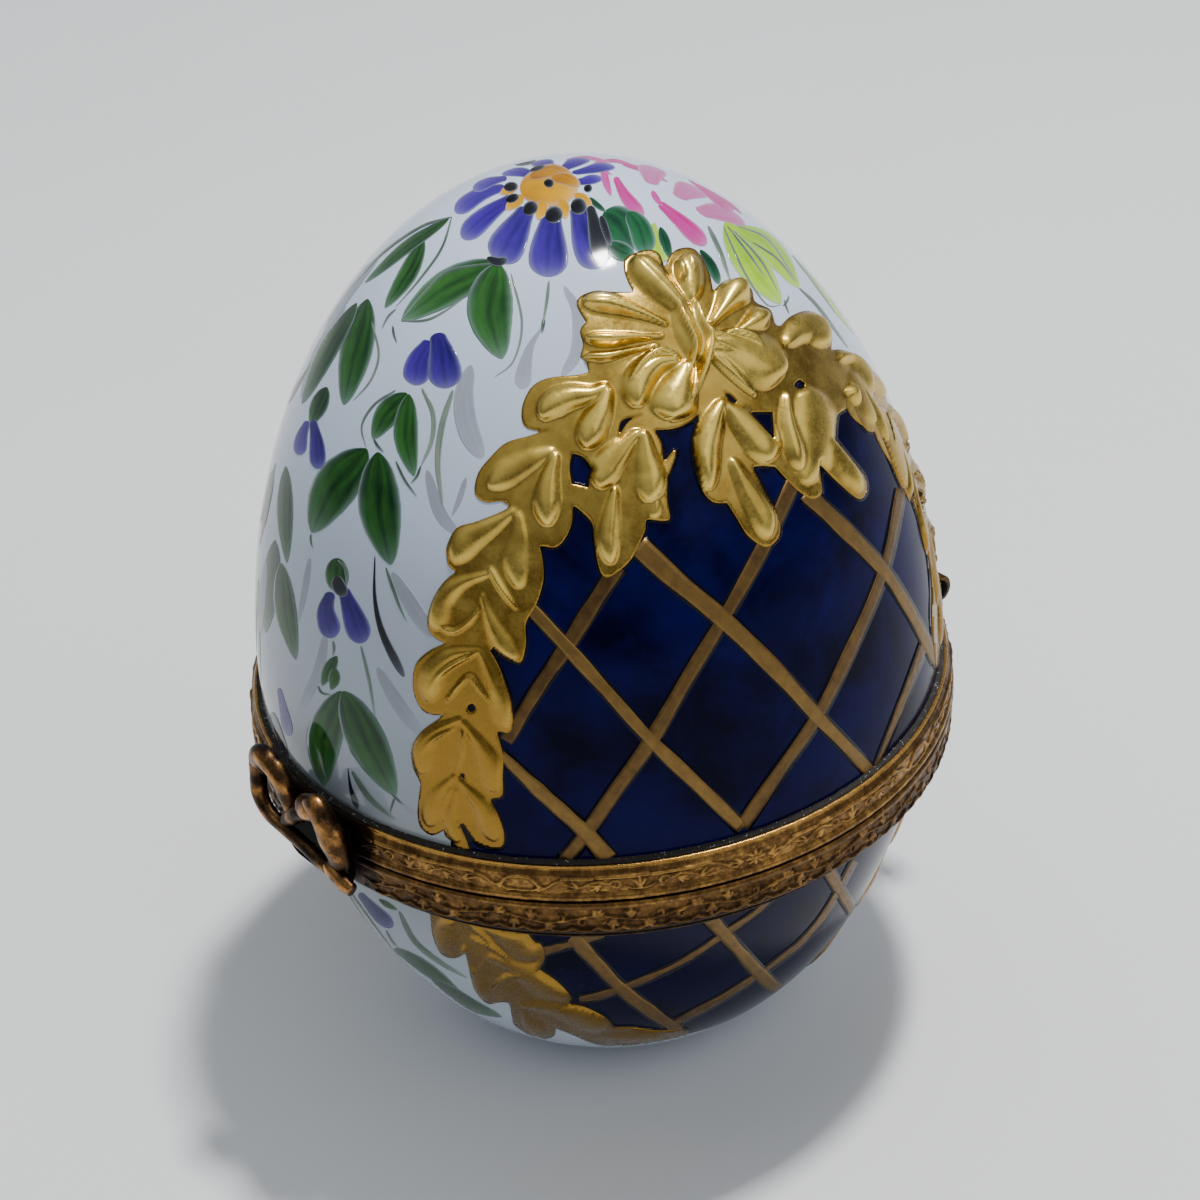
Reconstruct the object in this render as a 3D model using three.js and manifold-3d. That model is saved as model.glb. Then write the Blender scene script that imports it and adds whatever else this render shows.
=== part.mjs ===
// Egg-shaped porcelain trinket box: a bowl and a domed lid in gilt brass mounts, hinged at the back
// and closed at the front by a cast ribbon bow over a snap tongue.
// Millimetres, +Z up. The origin is on the egg's axis in the plane of the foot. -Y is the clasp side
// and +Y the hinge side. Heights named z are measured from the joint plane between bowl and lid.

import * as THREE from 'three';
import { mergeVertices } from 'three/addons/utils/BufferGeometryUtils.js';
import Module from 'manifold-3d';

// Porcelain
const BOWL_DEPTH = 25.2; // foot plane to joint plane
const DOME_HEIGHT = 38.55; // joint plane to the top of the lid
const DOME_RADIUS = 23.5; // glaze just above the lid's mount
const BOWL_SETBACK = 0.8; // the bowl's glaze below its mount stands back from the dome's by this much
const WALL = 2.4;
const REBATE = 0.35; // step cut for the mount
const BOWL_RIM_FLARE = 0.6; // the bowl's seat widens by this much from its shoulder up to the rim
const SHOULDER_GAP = 0.15; // bedding left showing between glaze and mount
const BOWL_UPPER_LEAN = THREE.MathUtils.degToRad(16.3); // from vertical, below the mount
const BOWL_UPPER_HANDLE = 9.0;
const BOWL_LOWER_LEAN = THREE.MathUtils.degToRad(30.5); // from horizontal, at the foot
const BOWL_LOWER_HANDLE = 9.1;
const FOOT_RADIUS = 9.5;
const FOOT_CORNER = 0.4;
const FOOT_RING_WIDTH = 1.9;
const FOOT_RECESS = 0.6;

// Raised gilding on the lid
const LOBE_WIDTH = 2.0; // a broad leaf of the garland
const LOBE_RISE = 0.9; // the gilt flower's petals above the glaze
const LOBE_SINK = 0.15; // the edge of a leaf or petal, at its middle, below the glaze
const PANEL_MIDDLE = -7.5; // azimuth in degrees of the middle of the panel on the right
const MIRRORED_BELOW = 40; // elevation in degrees up to which the garland is alike on both sides
const BACK_REACH = 0.82; // elevations of the back panel's garland, as a share of the front one's

// Mounts
const MOUNT_PROUD = 0.95; // beads along the joint, beyond the dome's glaze
const LID_BAND_HEIGHT = 2.6;
const BASE_BAND_HEIGHT = 3.8;
const BEAD_HEIGHT = 0.6;
const BEAD_ROUNDING = 0.12;
const GROOVE_DEPTH = 0.2; // between a bead and the ornamented strip
const SWELL_SETBACK = 0.1; // crest of the ornamented strip, inwards from its bead
const SWELL_HEIGHT = 0.45; // share of the strip's height at which that crest lies
const STRIP_FALL = 0.65; // share of the way in to the lip that the strip falls
const LIP_HEIGHT = 0.3; // plain edge that is pressed over the bedding
const LIP_THICKNESS = 0.3;
const LIP_BEVEL = 0.12;
const JOINT_GAP = 0.1; // between the closed mounts
const RIM_PLATE = 0.45; // flat ring that covers a porcelain rim
const RIM_FLANGE = 0.4; // its turned-in edge, radially
const RIM_FLANGE_DEPTH = 1.5;
const FILM = 0.05; // cement or solder film between seated pieces

// Hinge
const KNUCKLE_RADIUS = 1.15;
const BARREL_LENGTH = 16.6;
const KNUCKLES = 5; // bowl and lid in turn, bowl at both ends
const KNUCKLE_GAP = 0.15;
const HINGE_DROP = 0.6; // axis below the joint plane
const HINGE_FLAT = 0.55; // depth of the flat filed on the mounts behind the barrel
const BARREL_CLEARANCE = 0.2; // between barrel and flat
const PIN_RADIUS = 0.42;
const PIN_RUNNING_CLEARANCE = 0.08;
const PIN_HEAD_RADIUS = 0.75;
const PIN_HEAD_LENGTH = 0.3;
const PIN_HEAD_CHAMFER = 0.15;
const LID_WEB_REACH = 1.05; // how far a lid knuckle's web runs past the barrel's side along the flat
const BOWL_WEB_REACH = 0.53;
const BOWL_WEB_DROP = 0.3; // top of a bowl knuckle's web, below the hinge axis

// Clasp
const CLASP_FLAT = 0.35; // depth of the flat filed on the lid's mount for the tongue
const TONGUE_WIDTH = 7.2;
const TONGUE_TOP = 2.2;
const TONGUE_DROP = 2.9; // below the joint plane
const TONGUE_THICKNESS = 0.6;
const TONGUE_CORNER = 1.6;
const TONGUE_CORNER_RISE = 2.4;
const TONGUE_CLEARANCE = 0.3; // to the bowl's mount
const EYE_RADIUS = 0.95;
const EYE_DROP = 1.7;
const STUD_RADIUS = 0.6;
const STUD_CROWN_RADIUS = 0.4;
const STUD_STANDOFF = 0.06; // the tongue's back passes the stud by this much
const BOW_SQUARE_WIDTH = 1.0; // the bow is drawn on squares of this size, from the middle of the joint
const LEFT_LOOP_WIDTH = 1.8;
const LOWER_RIBBON_WIDTH = 1.05;
const RIGHT_LOOP_WIDTH = 1.25;
const FOLD_WIDTH = 0.95;
const RIBBON_THICKNESS = 0.8;
const BOW_STANDOFF = 0.75; // tongue to the ribbon's middle
const KNOT_SIZE = 1.7;
const KNOT_WAIST = 0.17; // how far the knot's upper and lower edges are drawn in
const KNOT_DEPTH = 1.2;
const KNOT_TILT = THREE.MathUtils.degToRad(24);
const KNOT_BEVEL = 0.2;
const TAIL_THICKNESS = 0.4;
const TAIL_BEVEL = 0.16;
const POST_TIP_RADIUS = 0.45;
const POST_FOOT_RADIUS = 0.6;

// Facets
const RING_SEGMENTS = 60;
const DOME_SEGMENTS = 12;
const BOWL_SEGMENTS = 8;
const LOBE_SIDES = 8;
const LOBE_ROWS = 4;
const BARREL_SEGMENTS = 24;
const RIBBON_SIDES = 10;
const POST_SIDES = 12;

// Places worked out from the sizes above
const bowlRadius = DOME_RADIUS - BOWL_SETBACK;
const mountRadius = DOME_RADIUS + MOUNT_PROUD;
const rimBore = DOME_RADIUS - WALL;
const halfGap = JOINT_GAP / 2;
const rimFace = halfGap + RIM_PLATE + FILM; // porcelain rim, away from the joint plane
const boreEnd = halfGap + RIM_FLANGE_DEPTH + REBATE; // where the straight bore of a rim stops
const lidShoulder = LID_BAND_HEIGHT + SHOULDER_GAP;
const baseShoulder = -(BASE_BAND_HEIGHT + SHOULDER_GAP);
const lidSeatRadius = DOME_RADIUS - REBATE;
const baseSeatRadius = bowlRadius - REBATE;
const baseRimRadius = baseSeatRadius + BOWL_RIM_FLARE;
const hingeFlatY = mountRadius - HINGE_FLAT;
const hingeY = hingeFlatY + BARREL_CLEARANCE + KNUCKLE_RADIUS;
const claspFlatY = -(mountRadius - CLASP_FLAT);
const tongueBackY = claspFlatY - FILM;
const tongueFrontY = tongueBackY - TONGUE_THICKNESS;
const catchFlatY = tongueBackY + TONGUE_CLEARANCE;

const glaze = { color: 0xdfe2ee, roughness: 0.12, metalness: 0 };
const biscuit = { color: 0x6f6a62, roughness: 0.95, metalness: 0 };
const agedBrass = { color: 0x7a5526, roughness: 0.45, metalness: 1 };
const wornBrass = { color: 0xa9823d, roughness: 0.35, metalness: 1 };
const darkBrass = { color: 0x4a3520, roughness: 0.6, metalness: 1 };

const wasm = await Module();
wasm.setup();

function named(name, geometry, finish) {
  const mesh = new THREE.Mesh(geometry, new THREE.MeshStandardMaterial(finish));
  mesh.name = name;
  return mesh;
}

// A closed mesh with shared vertices, ready to be cut or joined.
function toSolid(geometry) {
  const bare = geometry.clone();
  bare.deleteAttribute('normal');
  bare.deleteAttribute('uv');
  const merged = mergeVertices(bare, 1e-4);
  return new wasm.Manifold(new wasm.Mesh({
    numProp: 3,
    vertProperties: Float32Array.from(merged.attributes.position.array),
    triVerts: Uint32Array.from(merged.index.array),
  }));
}

function toGeometry(solid) {
  const mesh = solid.getMesh();
  const geometry = new THREE.BufferGeometry();
  geometry.setAttribute('position', new THREE.BufferAttribute(mesh.vertProperties, 3));
  geometry.setIndex(new THREE.BufferAttribute(mesh.triVerts, 1));
  geometry.computeVertexNormals();
  return geometry;
}

function cut(geometry, ...tools) {
  return toGeometry(tools.reduce((solid, tool) => solid.subtract(toSolid(tool)), toSolid(geometry)));
}

function join(...geometries) {
  return toGeometry(geometries.map(toSolid).reduce((solid, next) => solid.add(next)));
}

// Turns a profile of [radius, height] about +Z. A ring's profile closes on itself.
function revolve(profile, ring = false) {
  const points = profile.map(([radius, height]) => new THREE.Vector2(radius, height));
  if (ring) points.push(points[0].clone());
  return new THREE.LatheGeometry(points, RING_SEGMENTS).rotateX(Math.PI / 2);
}

function mirrored(profile) {
  return profile.map(([radius, height]) => [radius, -height]).reverse();
}

// A box that removes everything past the plane y = face, on the side that face lies.
function flatCutter(face, width, low, high) {
  const depth = 2 * mountRadius;
  const box = new THREE.BoxGeometry(width, depth, high - low);
  return box.translate(0, face + Math.sign(face) * depth / 2, (low + high) / 2);
}

// Half an ellipse from the shoulder up to the top of the lid.
function domeCurve(radius, height) {
  return Array.from({ length: DOME_SEGMENTS + 1 }, (_, i) => {
    const angle = (i / DOME_SEGMENTS) * Math.PI / 2;
    const across = i === DOME_SEGMENTS ? 0 : radius * Math.cos(angle);
    return [across, lidShoulder + height * Math.sin(angle)];
  });
}

// The bowl's side from the foot up to the shoulder below its mount, moved inwards by offset.
function bowlCurve(offset) {
  const top = new THREE.Vector2(bowlRadius, baseShoulder);
  const bottom = new THREE.Vector2(FOOT_RADIUS + FOOT_CORNER, -BOWL_DEPTH + FOOT_CORNER);
  const lower = new THREE.Vector2(Math.cos(BOWL_LOWER_LEAN), Math.sin(BOWL_LOWER_LEAN));
  const upper = new THREE.Vector2(-Math.sin(BOWL_UPPER_LEAN), -Math.cos(BOWL_UPPER_LEAN));
  const side = new THREE.CubicBezierCurve(
    bottom,
    bottom.clone().addScaledVector(lower, BOWL_LOWER_HANDLE),
    top.clone().addScaledVector(upper, BOWL_UPPER_HANDLE),
    top,
  );
  return side.getPoints(BOWL_SEGMENTS).map((point, i) => {
    const along = side.getTangent(i / BOWL_SEGMENTS);
    return [point.x - along.y * offset, point.y + along.x * offset];
  });
}

// A place on the lid's glaze, by its azimuth and the elevation angle of the dome's ellipse there.
function onDome(azimuth, elevation) {
  const around = THREE.MathUtils.degToRad(azimuth);
  const up = THREE.MathUtils.degToRad(elevation);
  return new THREE.Vector3(
    DOME_RADIUS * Math.cos(up) * Math.cos(around),
    DOME_RADIUS * Math.cos(up) * Math.sin(around),
    lidShoulder + (DOME_HEIGHT - lidShoulder) * Math.sin(up),
  );
}

// One leaf or petal: a low oval pad on the glaze that reaches from one place to another.
function lobe([fromAzimuth, fromElevation, toAzimuth, toElevation, width, rise]) {
  const along = onDome(toAzimuth, toElevation).sub(onDome(fromAzimuth, fromElevation));
  const middle = onDome((fromAzimuth + toAzimuth) / 2, (fromElevation + toElevation) / 2);
  const halfAxes = new THREE.Vector3(DOME_RADIUS, DOME_RADIUS, DOME_HEIGHT - lidShoulder);
  const outwards = middle.clone().setZ(middle.z - lidShoulder).divide(halfAxes).divide(halfAxes);
  const aside = new THREE.Vector3().crossVectors(outwards, along).normalize();
  outwards.crossVectors(along, aside).normalize();
  const pad = new THREE.SphereGeometry(1, LOBE_SIDES, LOBE_ROWS).rotateX(Math.PI / 2);
  pad.scale(along.length() / 2, width * LOBE_WIDTH / 2, rise * LOBE_RISE + LOBE_SINK);
  const turn = new THREE.Matrix4().makeBasis(along.normalize(), aside, outwards);
  middle.addScaledVector(outwards, -LOBE_SINK);
  return pad.applyMatrix4(turn.setPosition(middle));
}

// The gilt flower and garland round a panel. Each leaf or petal is its two ends, as azimuth and
// elevation in degrees, then its width and rise as shares of the greatest ones. Its elevations are
// all scaled by reach.
function garland(reach) {
  const flower = [
    [-13, 58.5, -34.5, 64, 0.70, 0.85], [-14.5, 57.5, -36, 58.5, 0.65, 0.90],
    [-5, 60, -11.5, 68.5, 1.00, 0.95], [0, 60.5, 8, 66.5, 0.80, 0.55],
    [0.5, 56.5, 20, 59, 1.10, 1.00], [7, 54.5, 19, 54, 0.75, 0.70],
    [-0.5, 55, 13, 47.5, 1.60, 0.95], [-12, 54, -25.5, 50, 0.90, 0.80],
    [-11, 53.5, -19, 48, 1.40, 0.95], [-6, 61, -12, 49.5, 0.55, 1.10],
  ];
  const leftLeaves = [
    [-31, 52.5, -47, 49, 0.70, 0.70], [-31.5, 52.5, -38, 46, 0.90, 0.80],
    [-44, 45.5, -56, 41.5, 0.80, 0.30], [-44, 45, -46, 38, 0.90, 0.65],
    [-52, 39, -62.5, 33, 0.80, 0.30], [-51.5, 38.5, -52, 31.5, 0.80, 0.38],
    [-56, 32.5, -51.5, 28.5, 0.40, 0.28], [-56, 31.5, -64.5, 25, 0.80, 0.32],
    [-56.5, 29, -52, 23.5, 0.75, 0.35], [-58, 23.5, -66.5, 16.5, 0.80, 0.32],
    [-58, 23, -53, 15.5, 0.90, 0.30], [-62, 15, -67.5, 9, 0.80, 0.28],
    [-60.5, 15, -55.5, 8.5, 1.00, 0.28], [-63, 8.5, -66.5, 2.5, 0.85, 0.24],
    [-60.5, 8, -56, 2.5, 1.00, 0.26],
  ];
  const hangingLeaves = [
    [-25.5, 47, -35.5, 41, 0.80, 0.60], [-25, 47, -27, 39.5, 1.00, 0.65],
    [-32.5, 40, -34.5, 32.5, 0.80, 0.60], [-6, 47.5, -14, 39, 1.10, 0.75],
    [-6, 47.5, -0.5, 39.5, 1.30, 0.65], [-8.5, 41, -5.5, 31.5, 1.05, 0.60],
    [11, 45, 6.5, 38.5, 0.85, 0.65], [18, 43.5, 7, 35, 1.70, 0.60],
    [16, 37, 18.5, 31, 1.10, 0.42],
  ];
  const rightLeaves = [
    [19.5, 49.5, 31.5, 45.5, 1.35, 0.65], [33, 43, 40.5, 36, 1.50, 0.60],
    [38.5, 35, 36, 23.5, 1.50, 0.42], [45.5, 32, 41, 22.5, 1.60, 0.42],
  ];
  const mirroredLeaves = leftLeaves
    .filter(([, elevation]) => elevation < MIRRORED_BELOW)
    .map(([azimuth, elevation, toAzimuth, toElevation, ...size]) => [
      2 * PANEL_MIDDLE - azimuth, elevation, 2 * PANEL_MIDDLE - toAzimuth, toElevation, ...size,
    ]);
  return [flower, leftLeaves, hangingLeaves, rightLeaves, mirroredLeaves]
    .flat()
    .map(([azimuth, elevation, toAzimuth, toElevation, ...size]) => (
      lobe([azimuth, elevation * reach, toAzimuth, toElevation * reach, ...size])
    ));
}

function lidShell() {
  const inside = domeCurve(DOME_RADIUS - WALL, DOME_HEIGHT - lidShoulder - WALL);
  const dome = revolve([
    ...inside.reverse(),
    [rimBore, rimFace],
    [lidSeatRadius, rimFace],
    [lidSeatRadius, lidShoulder],
    ...domeCurve(DOME_RADIUS, DOME_HEIGHT - lidShoulder),
  ]);
  const right = garland(1);
  const left = garland(BACK_REACH).map((leaf) => leaf.rotateZ(Math.PI));
  return join(dome, ...right, ...left);
}

function baseShell() {
  const foot = -BOWL_DEPTH;
  const recess = foot + FOOT_RECESS;
  const inside = bowlCurve(WALL).reverse();
  const floor = inside.at(-1)[1];
  return revolve([
    [0, recess],
    [FOOT_RADIUS - FOOT_RING_WIDTH - FOOT_RECESS, recess],
    [FOOT_RADIUS - FOOT_RING_WIDTH, foot],
    [FOOT_RADIUS, foot],
    ...bowlCurve(0),
    [baseSeatRadius, baseShoulder],
    [baseRimRadius, -rimFace],
    [rimBore, -rimFace],
    [rimBore, -boreEnd],
    ...inside,
    [0, floor],
  ]);
}

// Cross-section of a mount's strip, from the bead at the joint to the lip that grips the porcelain.
// bore and lipBore are its inner radii at the joint and at the lip.
function bandProfile(height, bore, lipBore) {
  const lip = lipBore + LIP_THICKNESS;
  const bead = halfGap + BEAD_HEIGHT;
  const strip = mountRadius - GROOVE_DEPTH;
  return [
    [bore, rimFace],
    [bore, halfGap],
    [mountRadius - BEAD_ROUNDING, halfGap],
    [mountRadius, halfGap + BEAD_ROUNDING],
    [mountRadius, bead - BEAD_ROUNDING],
    [strip, bead],
    [strip - SWELL_SETBACK, bead + SWELL_HEIGHT * (height - bead)],
    [strip - STRIP_FALL * (strip - lip), height - LIP_HEIGHT],
    [lip, height - LIP_HEIGHT + LIP_BEVEL],
    [lip, height],
    [lipBore, height],
  ];
}

function lidBand() {
  const ring = revolve(bandProfile(LID_BAND_HEIGHT, DOME_RADIUS, DOME_RADIUS), true);
  return cut(
    ring,
    flatCutter(hingeFlatY, mountRadius, 0, LID_BAND_HEIGHT * 2),
    flatCutter(claspFlatY, TONGUE_WIDTH + 2 * TONGUE_CLEARANCE, 0, LID_BAND_HEIGHT * 2),
  );
}

function baseBand() {
  const bore = baseRimRadius + REBATE;
  const ring = revolve(mirrored(bandProfile(BASE_BAND_HEIGHT, bore, bowlRadius)), true);
  return cut(
    ring,
    flatCutter(hingeFlatY, mountRadius, -BASE_BAND_HEIGHT * 2, 0),
    flatCutter(catchFlatY, TONGUE_WIDTH + 2 * TONGUE_CLEARANCE, -BASE_BAND_HEIGHT * 2, 0),
  );
}

// Flat ring over a porcelain rim, turned down inside it.
function rimRingProfile(seatRadius) {
  const bore = rimBore - FILM - RIM_FLANGE;
  const face = halfGap + RIM_PLATE;
  return [
    [bore, halfGap],
    [seatRadius, halfGap],
    [seatRadius, face],
    [bore + RIM_FLANGE, face],
    [bore + RIM_FLANGE, halfGap + RIM_FLANGE_DEPTH],
    [bore, halfGap + RIM_FLANGE_DEPTH],
  ];
}

// Cement between a porcelain seat and its mount.
function beddingProfile(rimRadius, shoulderRadius, shoulder) {
  const inner = FILM;
  const outer = REBATE - FILM;
  return [
    [rimRadius + inner, rimFace],
    [rimRadius + outer, rimFace],
    [shoulderRadius + outer, shoulder - FILM],
    [shoulderRadius + inner, shoulder - FILM],
  ];
}

// End view of a knuckle in the plane across the hinge axis: a barrel with a web to the filed flat.
// side is +1 for a web above the axis and -1 for one below; near and far are its ends on the flat.
function knuckleShape(side, near, far) {
  const flat = -(KNUCKLE_RADIUS + BARREL_CLEARANCE - FILM);
  const leave = Math.PI - Math.asin(near / KNUCKLE_RADIUS);
  const arrive = Math.PI / 3;
  const shape = new THREE.Shape();
  shape.moveTo(flat, side * far);
  shape.lineTo(flat, side * near);
  shape.lineTo(KNUCKLE_RADIUS * Math.cos(leave), side * near);
  shape.absarc(0, 0, KNUCKLE_RADIUS, side * leave, side * (arrive + 2 * Math.PI), side < 0);
  shape.closePath();
  const bore = new THREE.Path();
  bore.absarc(0, 0, PIN_RADIUS + PIN_RUNNING_CLEARANCE, 0, 2 * Math.PI, false);
  shape.holes.push(bore);
  return shape;
}

// Stands a shape drawn in (y, z) up along +X, from start over length.
function alongHinge(shape, start, length) {
  const geometry = new THREE.ExtrudeGeometry(shape, {
    depth: length,
    bevelEnabled: false,
    curveSegments: BARREL_SEGMENTS / 2, // a full arc gets twice this many sides
  });
  geometry.rotateX(Math.PI / 2).rotateZ(Math.PI / 2);
  return geometry.translate(start, hingeY, -HINGE_DROP);
}

function knuckle(index) {
  const pitch = (BARREL_LENGTH + KNUCKLE_GAP) / KNUCKLES;
  const onBowl = index % 2 === 0;
  const toJoint = HINGE_DROP + halfGap + FILM;
  const shape = onBowl
    ? knuckleShape(-1, BOWL_WEB_DROP, KNUCKLE_RADIUS + BOWL_WEB_REACH)
    : knuckleShape(1, toJoint, KNUCKLE_RADIUS + LID_WEB_REACH);
  return alongHinge(shape, -BARREL_LENGTH / 2 + index * pitch, pitch - KNUCKLE_GAP);
}

function hingePin() {
  const half = BARREL_LENGTH / 2;
  const tip = half + PIN_HEAD_LENGTH;
  const profile = [
    [0, -tip],
    [PIN_HEAD_RADIUS - PIN_HEAD_CHAMFER, -tip],
    [PIN_HEAD_RADIUS, -tip + PIN_HEAD_CHAMFER],
    [PIN_HEAD_RADIUS, -half],
    [PIN_RADIUS, -half],
    [PIN_RADIUS, half],
    [PIN_HEAD_RADIUS, half],
    [PIN_HEAD_RADIUS, tip - PIN_HEAD_CHAMFER],
    [PIN_HEAD_RADIUS - PIN_HEAD_CHAMFER, tip],
    [0, tip],
  ].map(([radius, height]) => new THREE.Vector2(radius, height));
  const turned = new THREE.LatheGeometry(profile, BARREL_SEGMENTS).rotateZ(-Math.PI / 2);
  return turned.translate(0, hingeY, -HINGE_DROP);
}

// Extrudes a shape drawn in (x, z) towards the front, from y = back.
function facingFront(shape, back, options) {
  const geometry = new THREE.ExtrudeGeometry(shape, options).rotateX(Math.PI / 2);
  return geometry.translate(0, back, 0);
}

function claspTongue() {
  const half = TONGUE_WIDTH / 2;
  const tip = -TONGUE_DROP;
  const shape = new THREE.Shape();
  shape.moveTo(-half, TONGUE_TOP);
  shape.lineTo(-half, tip + TONGUE_CORNER_RISE);
  shape.quadraticCurveTo(-half, tip, -half + TONGUE_CORNER, tip);
  shape.lineTo(half - TONGUE_CORNER, tip);
  shape.quadraticCurveTo(half, tip, half, tip + TONGUE_CORNER_RISE);
  shape.lineTo(half, TONGUE_TOP);
  shape.closePath();
  const eye = new THREE.Path();
  eye.absarc(0, -EYE_DROP, EYE_RADIUS, 0, 2 * Math.PI, true);
  shape.holes.push(eye);
  return facingFront(shape, tongueBackY, {
    depth: TONGUE_THICKNESS,
    bevelEnabled: false,
    curveSegments: BARREL_SEGMENTS / 2,
  });
}

// Low domed stud on the bowl's mount, under the tongue's eye.
function catchStud() {
  const reach = TONGUE_CLEARANCE - STUD_STANDOFF - FILM;
  const profile = [
    [0, 0],
    [STUD_RADIUS, 0],
    [STUD_RADIUS, reach / 2],
    [STUD_CROWN_RADIUS, reach],
    [0, reach],
  ].map(([radius, height]) => new THREE.Vector2(radius, height));
  const stud = new THREE.LatheGeometry(profile, BARREL_SEGMENTS).rotateX(Math.PI);
  return stud.translate(0, catchFlatY - FILM, -EYE_DROP);
}

// Sweeps an oval ribbon section along points [x, z, how far it stands forward] on the bow's grid.
function ribbon(points, width, steps) {
  const middle = tongueFrontY - BOW_STANDOFF;
  const path = new THREE.CatmullRomCurve3(
    points.map(([x, z, forward]) => new THREE.Vector3(
      x * BOW_SQUARE_WIDTH,
      middle - forward * BOW_SQUARE_WIDTH,
      z * BOW_SQUARE_WIDTH,
    )),
    false,
    'centripetal',
  );
  const section = new THREE.Shape();
  section.absellipse(0, 0, RIBBON_THICKNESS / 2, width / 2, 0, 2 * Math.PI);
  return new THREE.ExtrudeGeometry(section, {
    steps,
    extrudePath: path,
    curveSegments: RIBBON_SIDES / 2, // a full ellipse gets twice this many sides
    bevelEnabled: false,
  });
}

function bowKnot(x, z) {
  const half = KNOT_SIZE / 2;
  const waist = half - KNOT_WAIST;
  const shape = new THREE.Shape();
  shape.moveTo(-half, -half);
  shape.quadraticCurveTo(0, -waist, half, -half);
  shape.lineTo(half, half);
  shape.quadraticCurveTo(0, waist, -half, half);
  shape.closePath();
  const block = new THREE.ExtrudeGeometry(shape, {
    depth: KNOT_DEPTH,
    bevelThickness: KNOT_BEVEL,
    bevelSize: KNOT_BEVEL,
    bevelOffset: -KNOT_BEVEL,
    bevelSegments: 2,
    curveSegments: 4,
  });
  block.rotateZ(KNOT_TILT).rotateX(Math.PI / 2);
  const back = tongueFrontY - BOW_STANDOFF + RIBBON_THICKNESS / 2;
  return block.translate(x * BOW_SQUARE_WIDTH, back, z * BOW_SQUARE_WIDTH);
}

// Swallow-tailed end of the lower ribbon.
function bowTail() {
  const upperEdge = [[3.0, -0.2], [4.3, 0.12], [5.7, 0.2]];
  const notch = [5.2, -0.55];
  const lowerEdge = [[5.6, -1.25], [4.2, -1.38], [3.0, -1.15]];
  const outline = [...upperEdge, notch, ...lowerEdge].map(
    ([x, z]) => new THREE.Vector2(x, z).multiplyScalar(BOW_SQUARE_WIDTH),
  );
  const back = tongueFrontY - BOW_STANDOFF + TAIL_THICKNESS / 2;
  return facingFront(new THREE.Shape(outline), back, {
    depth: TAIL_THICKNESS,
    bevelThickness: TAIL_BEVEL,
    bevelSize: TAIL_BEVEL,
    bevelSegments: 1,
  });
}

// Short post that carries the bow off the tongue.
function bowPost(x, z) {
  const length = BOW_STANDOFF - FILM;
  const post = new THREE.CylinderGeometry(POST_TIP_RADIUS, POST_FOOT_RADIUS, length, POST_SIDES);
  const middle = tongueFrontY - FILM - length / 2;
  return post.rotateX(Math.PI).translate(x * BOW_SQUARE_WIDTH, middle, z * BOW_SQUARE_WIDTH);
}

// Ribbon bow: a broad left loop whose end runs on under the knot to the tail, a drooping right loop,
// a short fold between knot and tail, and the knot.
function claspBow() {
  const leftLoop = [
    [1.2, 3.3, 0], [-0.3, 3.9, 0.2], [-1.7, 4.9, 0.3], [-3.0, 5.2, 0.2], [-4.0, 4.5, 0], [-4.3, 3.6, 0],
  ];
  const lowerRibbon = [
    [-4.2, 4.3, 0], [-4.5, 3.0, 0], [-4.2, 1.8, 0.1], [-3.4, 0.8, 0.2], [-2.1, 0.45, 0.2],
    [-0.6, 0.5, 0.2], [0.9, 0.4, 0.1], [2.3, -0.2, 0], [3.6, -0.7, 0],
  ];
  const rightLoop = [
    [1.6, 3.9, 0], [2.8, 4.7, 0.2], [3.9, 4.2, 0.3], [4.7, 3.2, 0.3], [4.9, 2.2, 0.2], [4.4, 1.1, 0.1],
    [3.5, 0.8, 0], [2.9, 1.5, 0], [2.5, 2.5, 0], [1.6, 3.2, 0],
  ];
  const fold = [[1.0, 3.0, 0.1], [-0.3, 2.3, 0.2], [-0.9, 1.3, 0.2], [-1.4, 0.5, 0.1]];
  return join(
    ribbon(leftLoop, LEFT_LOOP_WIDTH, 18),
    ribbon(lowerRibbon, LOWER_RIBBON_WIDTH, 26),
    ribbon(rightLoop, RIGHT_LOOP_WIDTH, 30),
    ribbon(fold, FOLD_WIDTH, 9),
    bowKnot(1.3, 3.4),
    bowTail(),
    bowPost(1.3, 1.95),
    bowPost(-1.4, 0.5),
  );
}

const lidRimRing = revolve(rimRingProfile(lidSeatRadius), true);
const baseRimRing = revolve(mirrored(rimRingProfile(baseRimRadius)), true);
const lidBedding = revolve(beddingProfile(lidSeatRadius, lidSeatRadius, lidShoulder), true);
const baseBedding = revolve(mirrored(beddingProfile(baseRimRadius, baseSeatRadius, -baseShoulder)), true);

const base = new THREE.Group();
base.add(
  named('base_shell', baseShell(), glaze),
  named('base_bedding', baseBedding, biscuit),
  named('base_rim_ring', baseRimRing, wornBrass),
  named('base_band', baseBand(), agedBrass),
  named('catch_stud', catchStud(), wornBrass),
  named('hinge_pin', hingePin(), darkBrass),
);

const lid = new THREE.Group();
lid.add(
  named('lid_shell', lidShell(), glaze),
  named('lid_bedding', lidBedding, biscuit),
  named('lid_rim_ring', lidRimRing, wornBrass),
  named('lid_band', lidBand(), agedBrass),
  named('clasp_tongue', claspTongue(), darkBrass),
  named('clasp_bow', claspBow(), agedBrass),
);

for (let i = 0; i < KNUCKLES; i += 1) {
  const owner = i % 2 === 0 ? base : lid;
  const label = i % 2 === 0 ? 'base_knuckle' : 'lid_knuckle';
  owner.add(named(`${label}_${i + 1}`, knuckle(i), agedBrass));
}

const group = new THREE.Group();
group.position.z = BOWL_DEPTH;
group.add(base, lid);

export default group;
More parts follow.
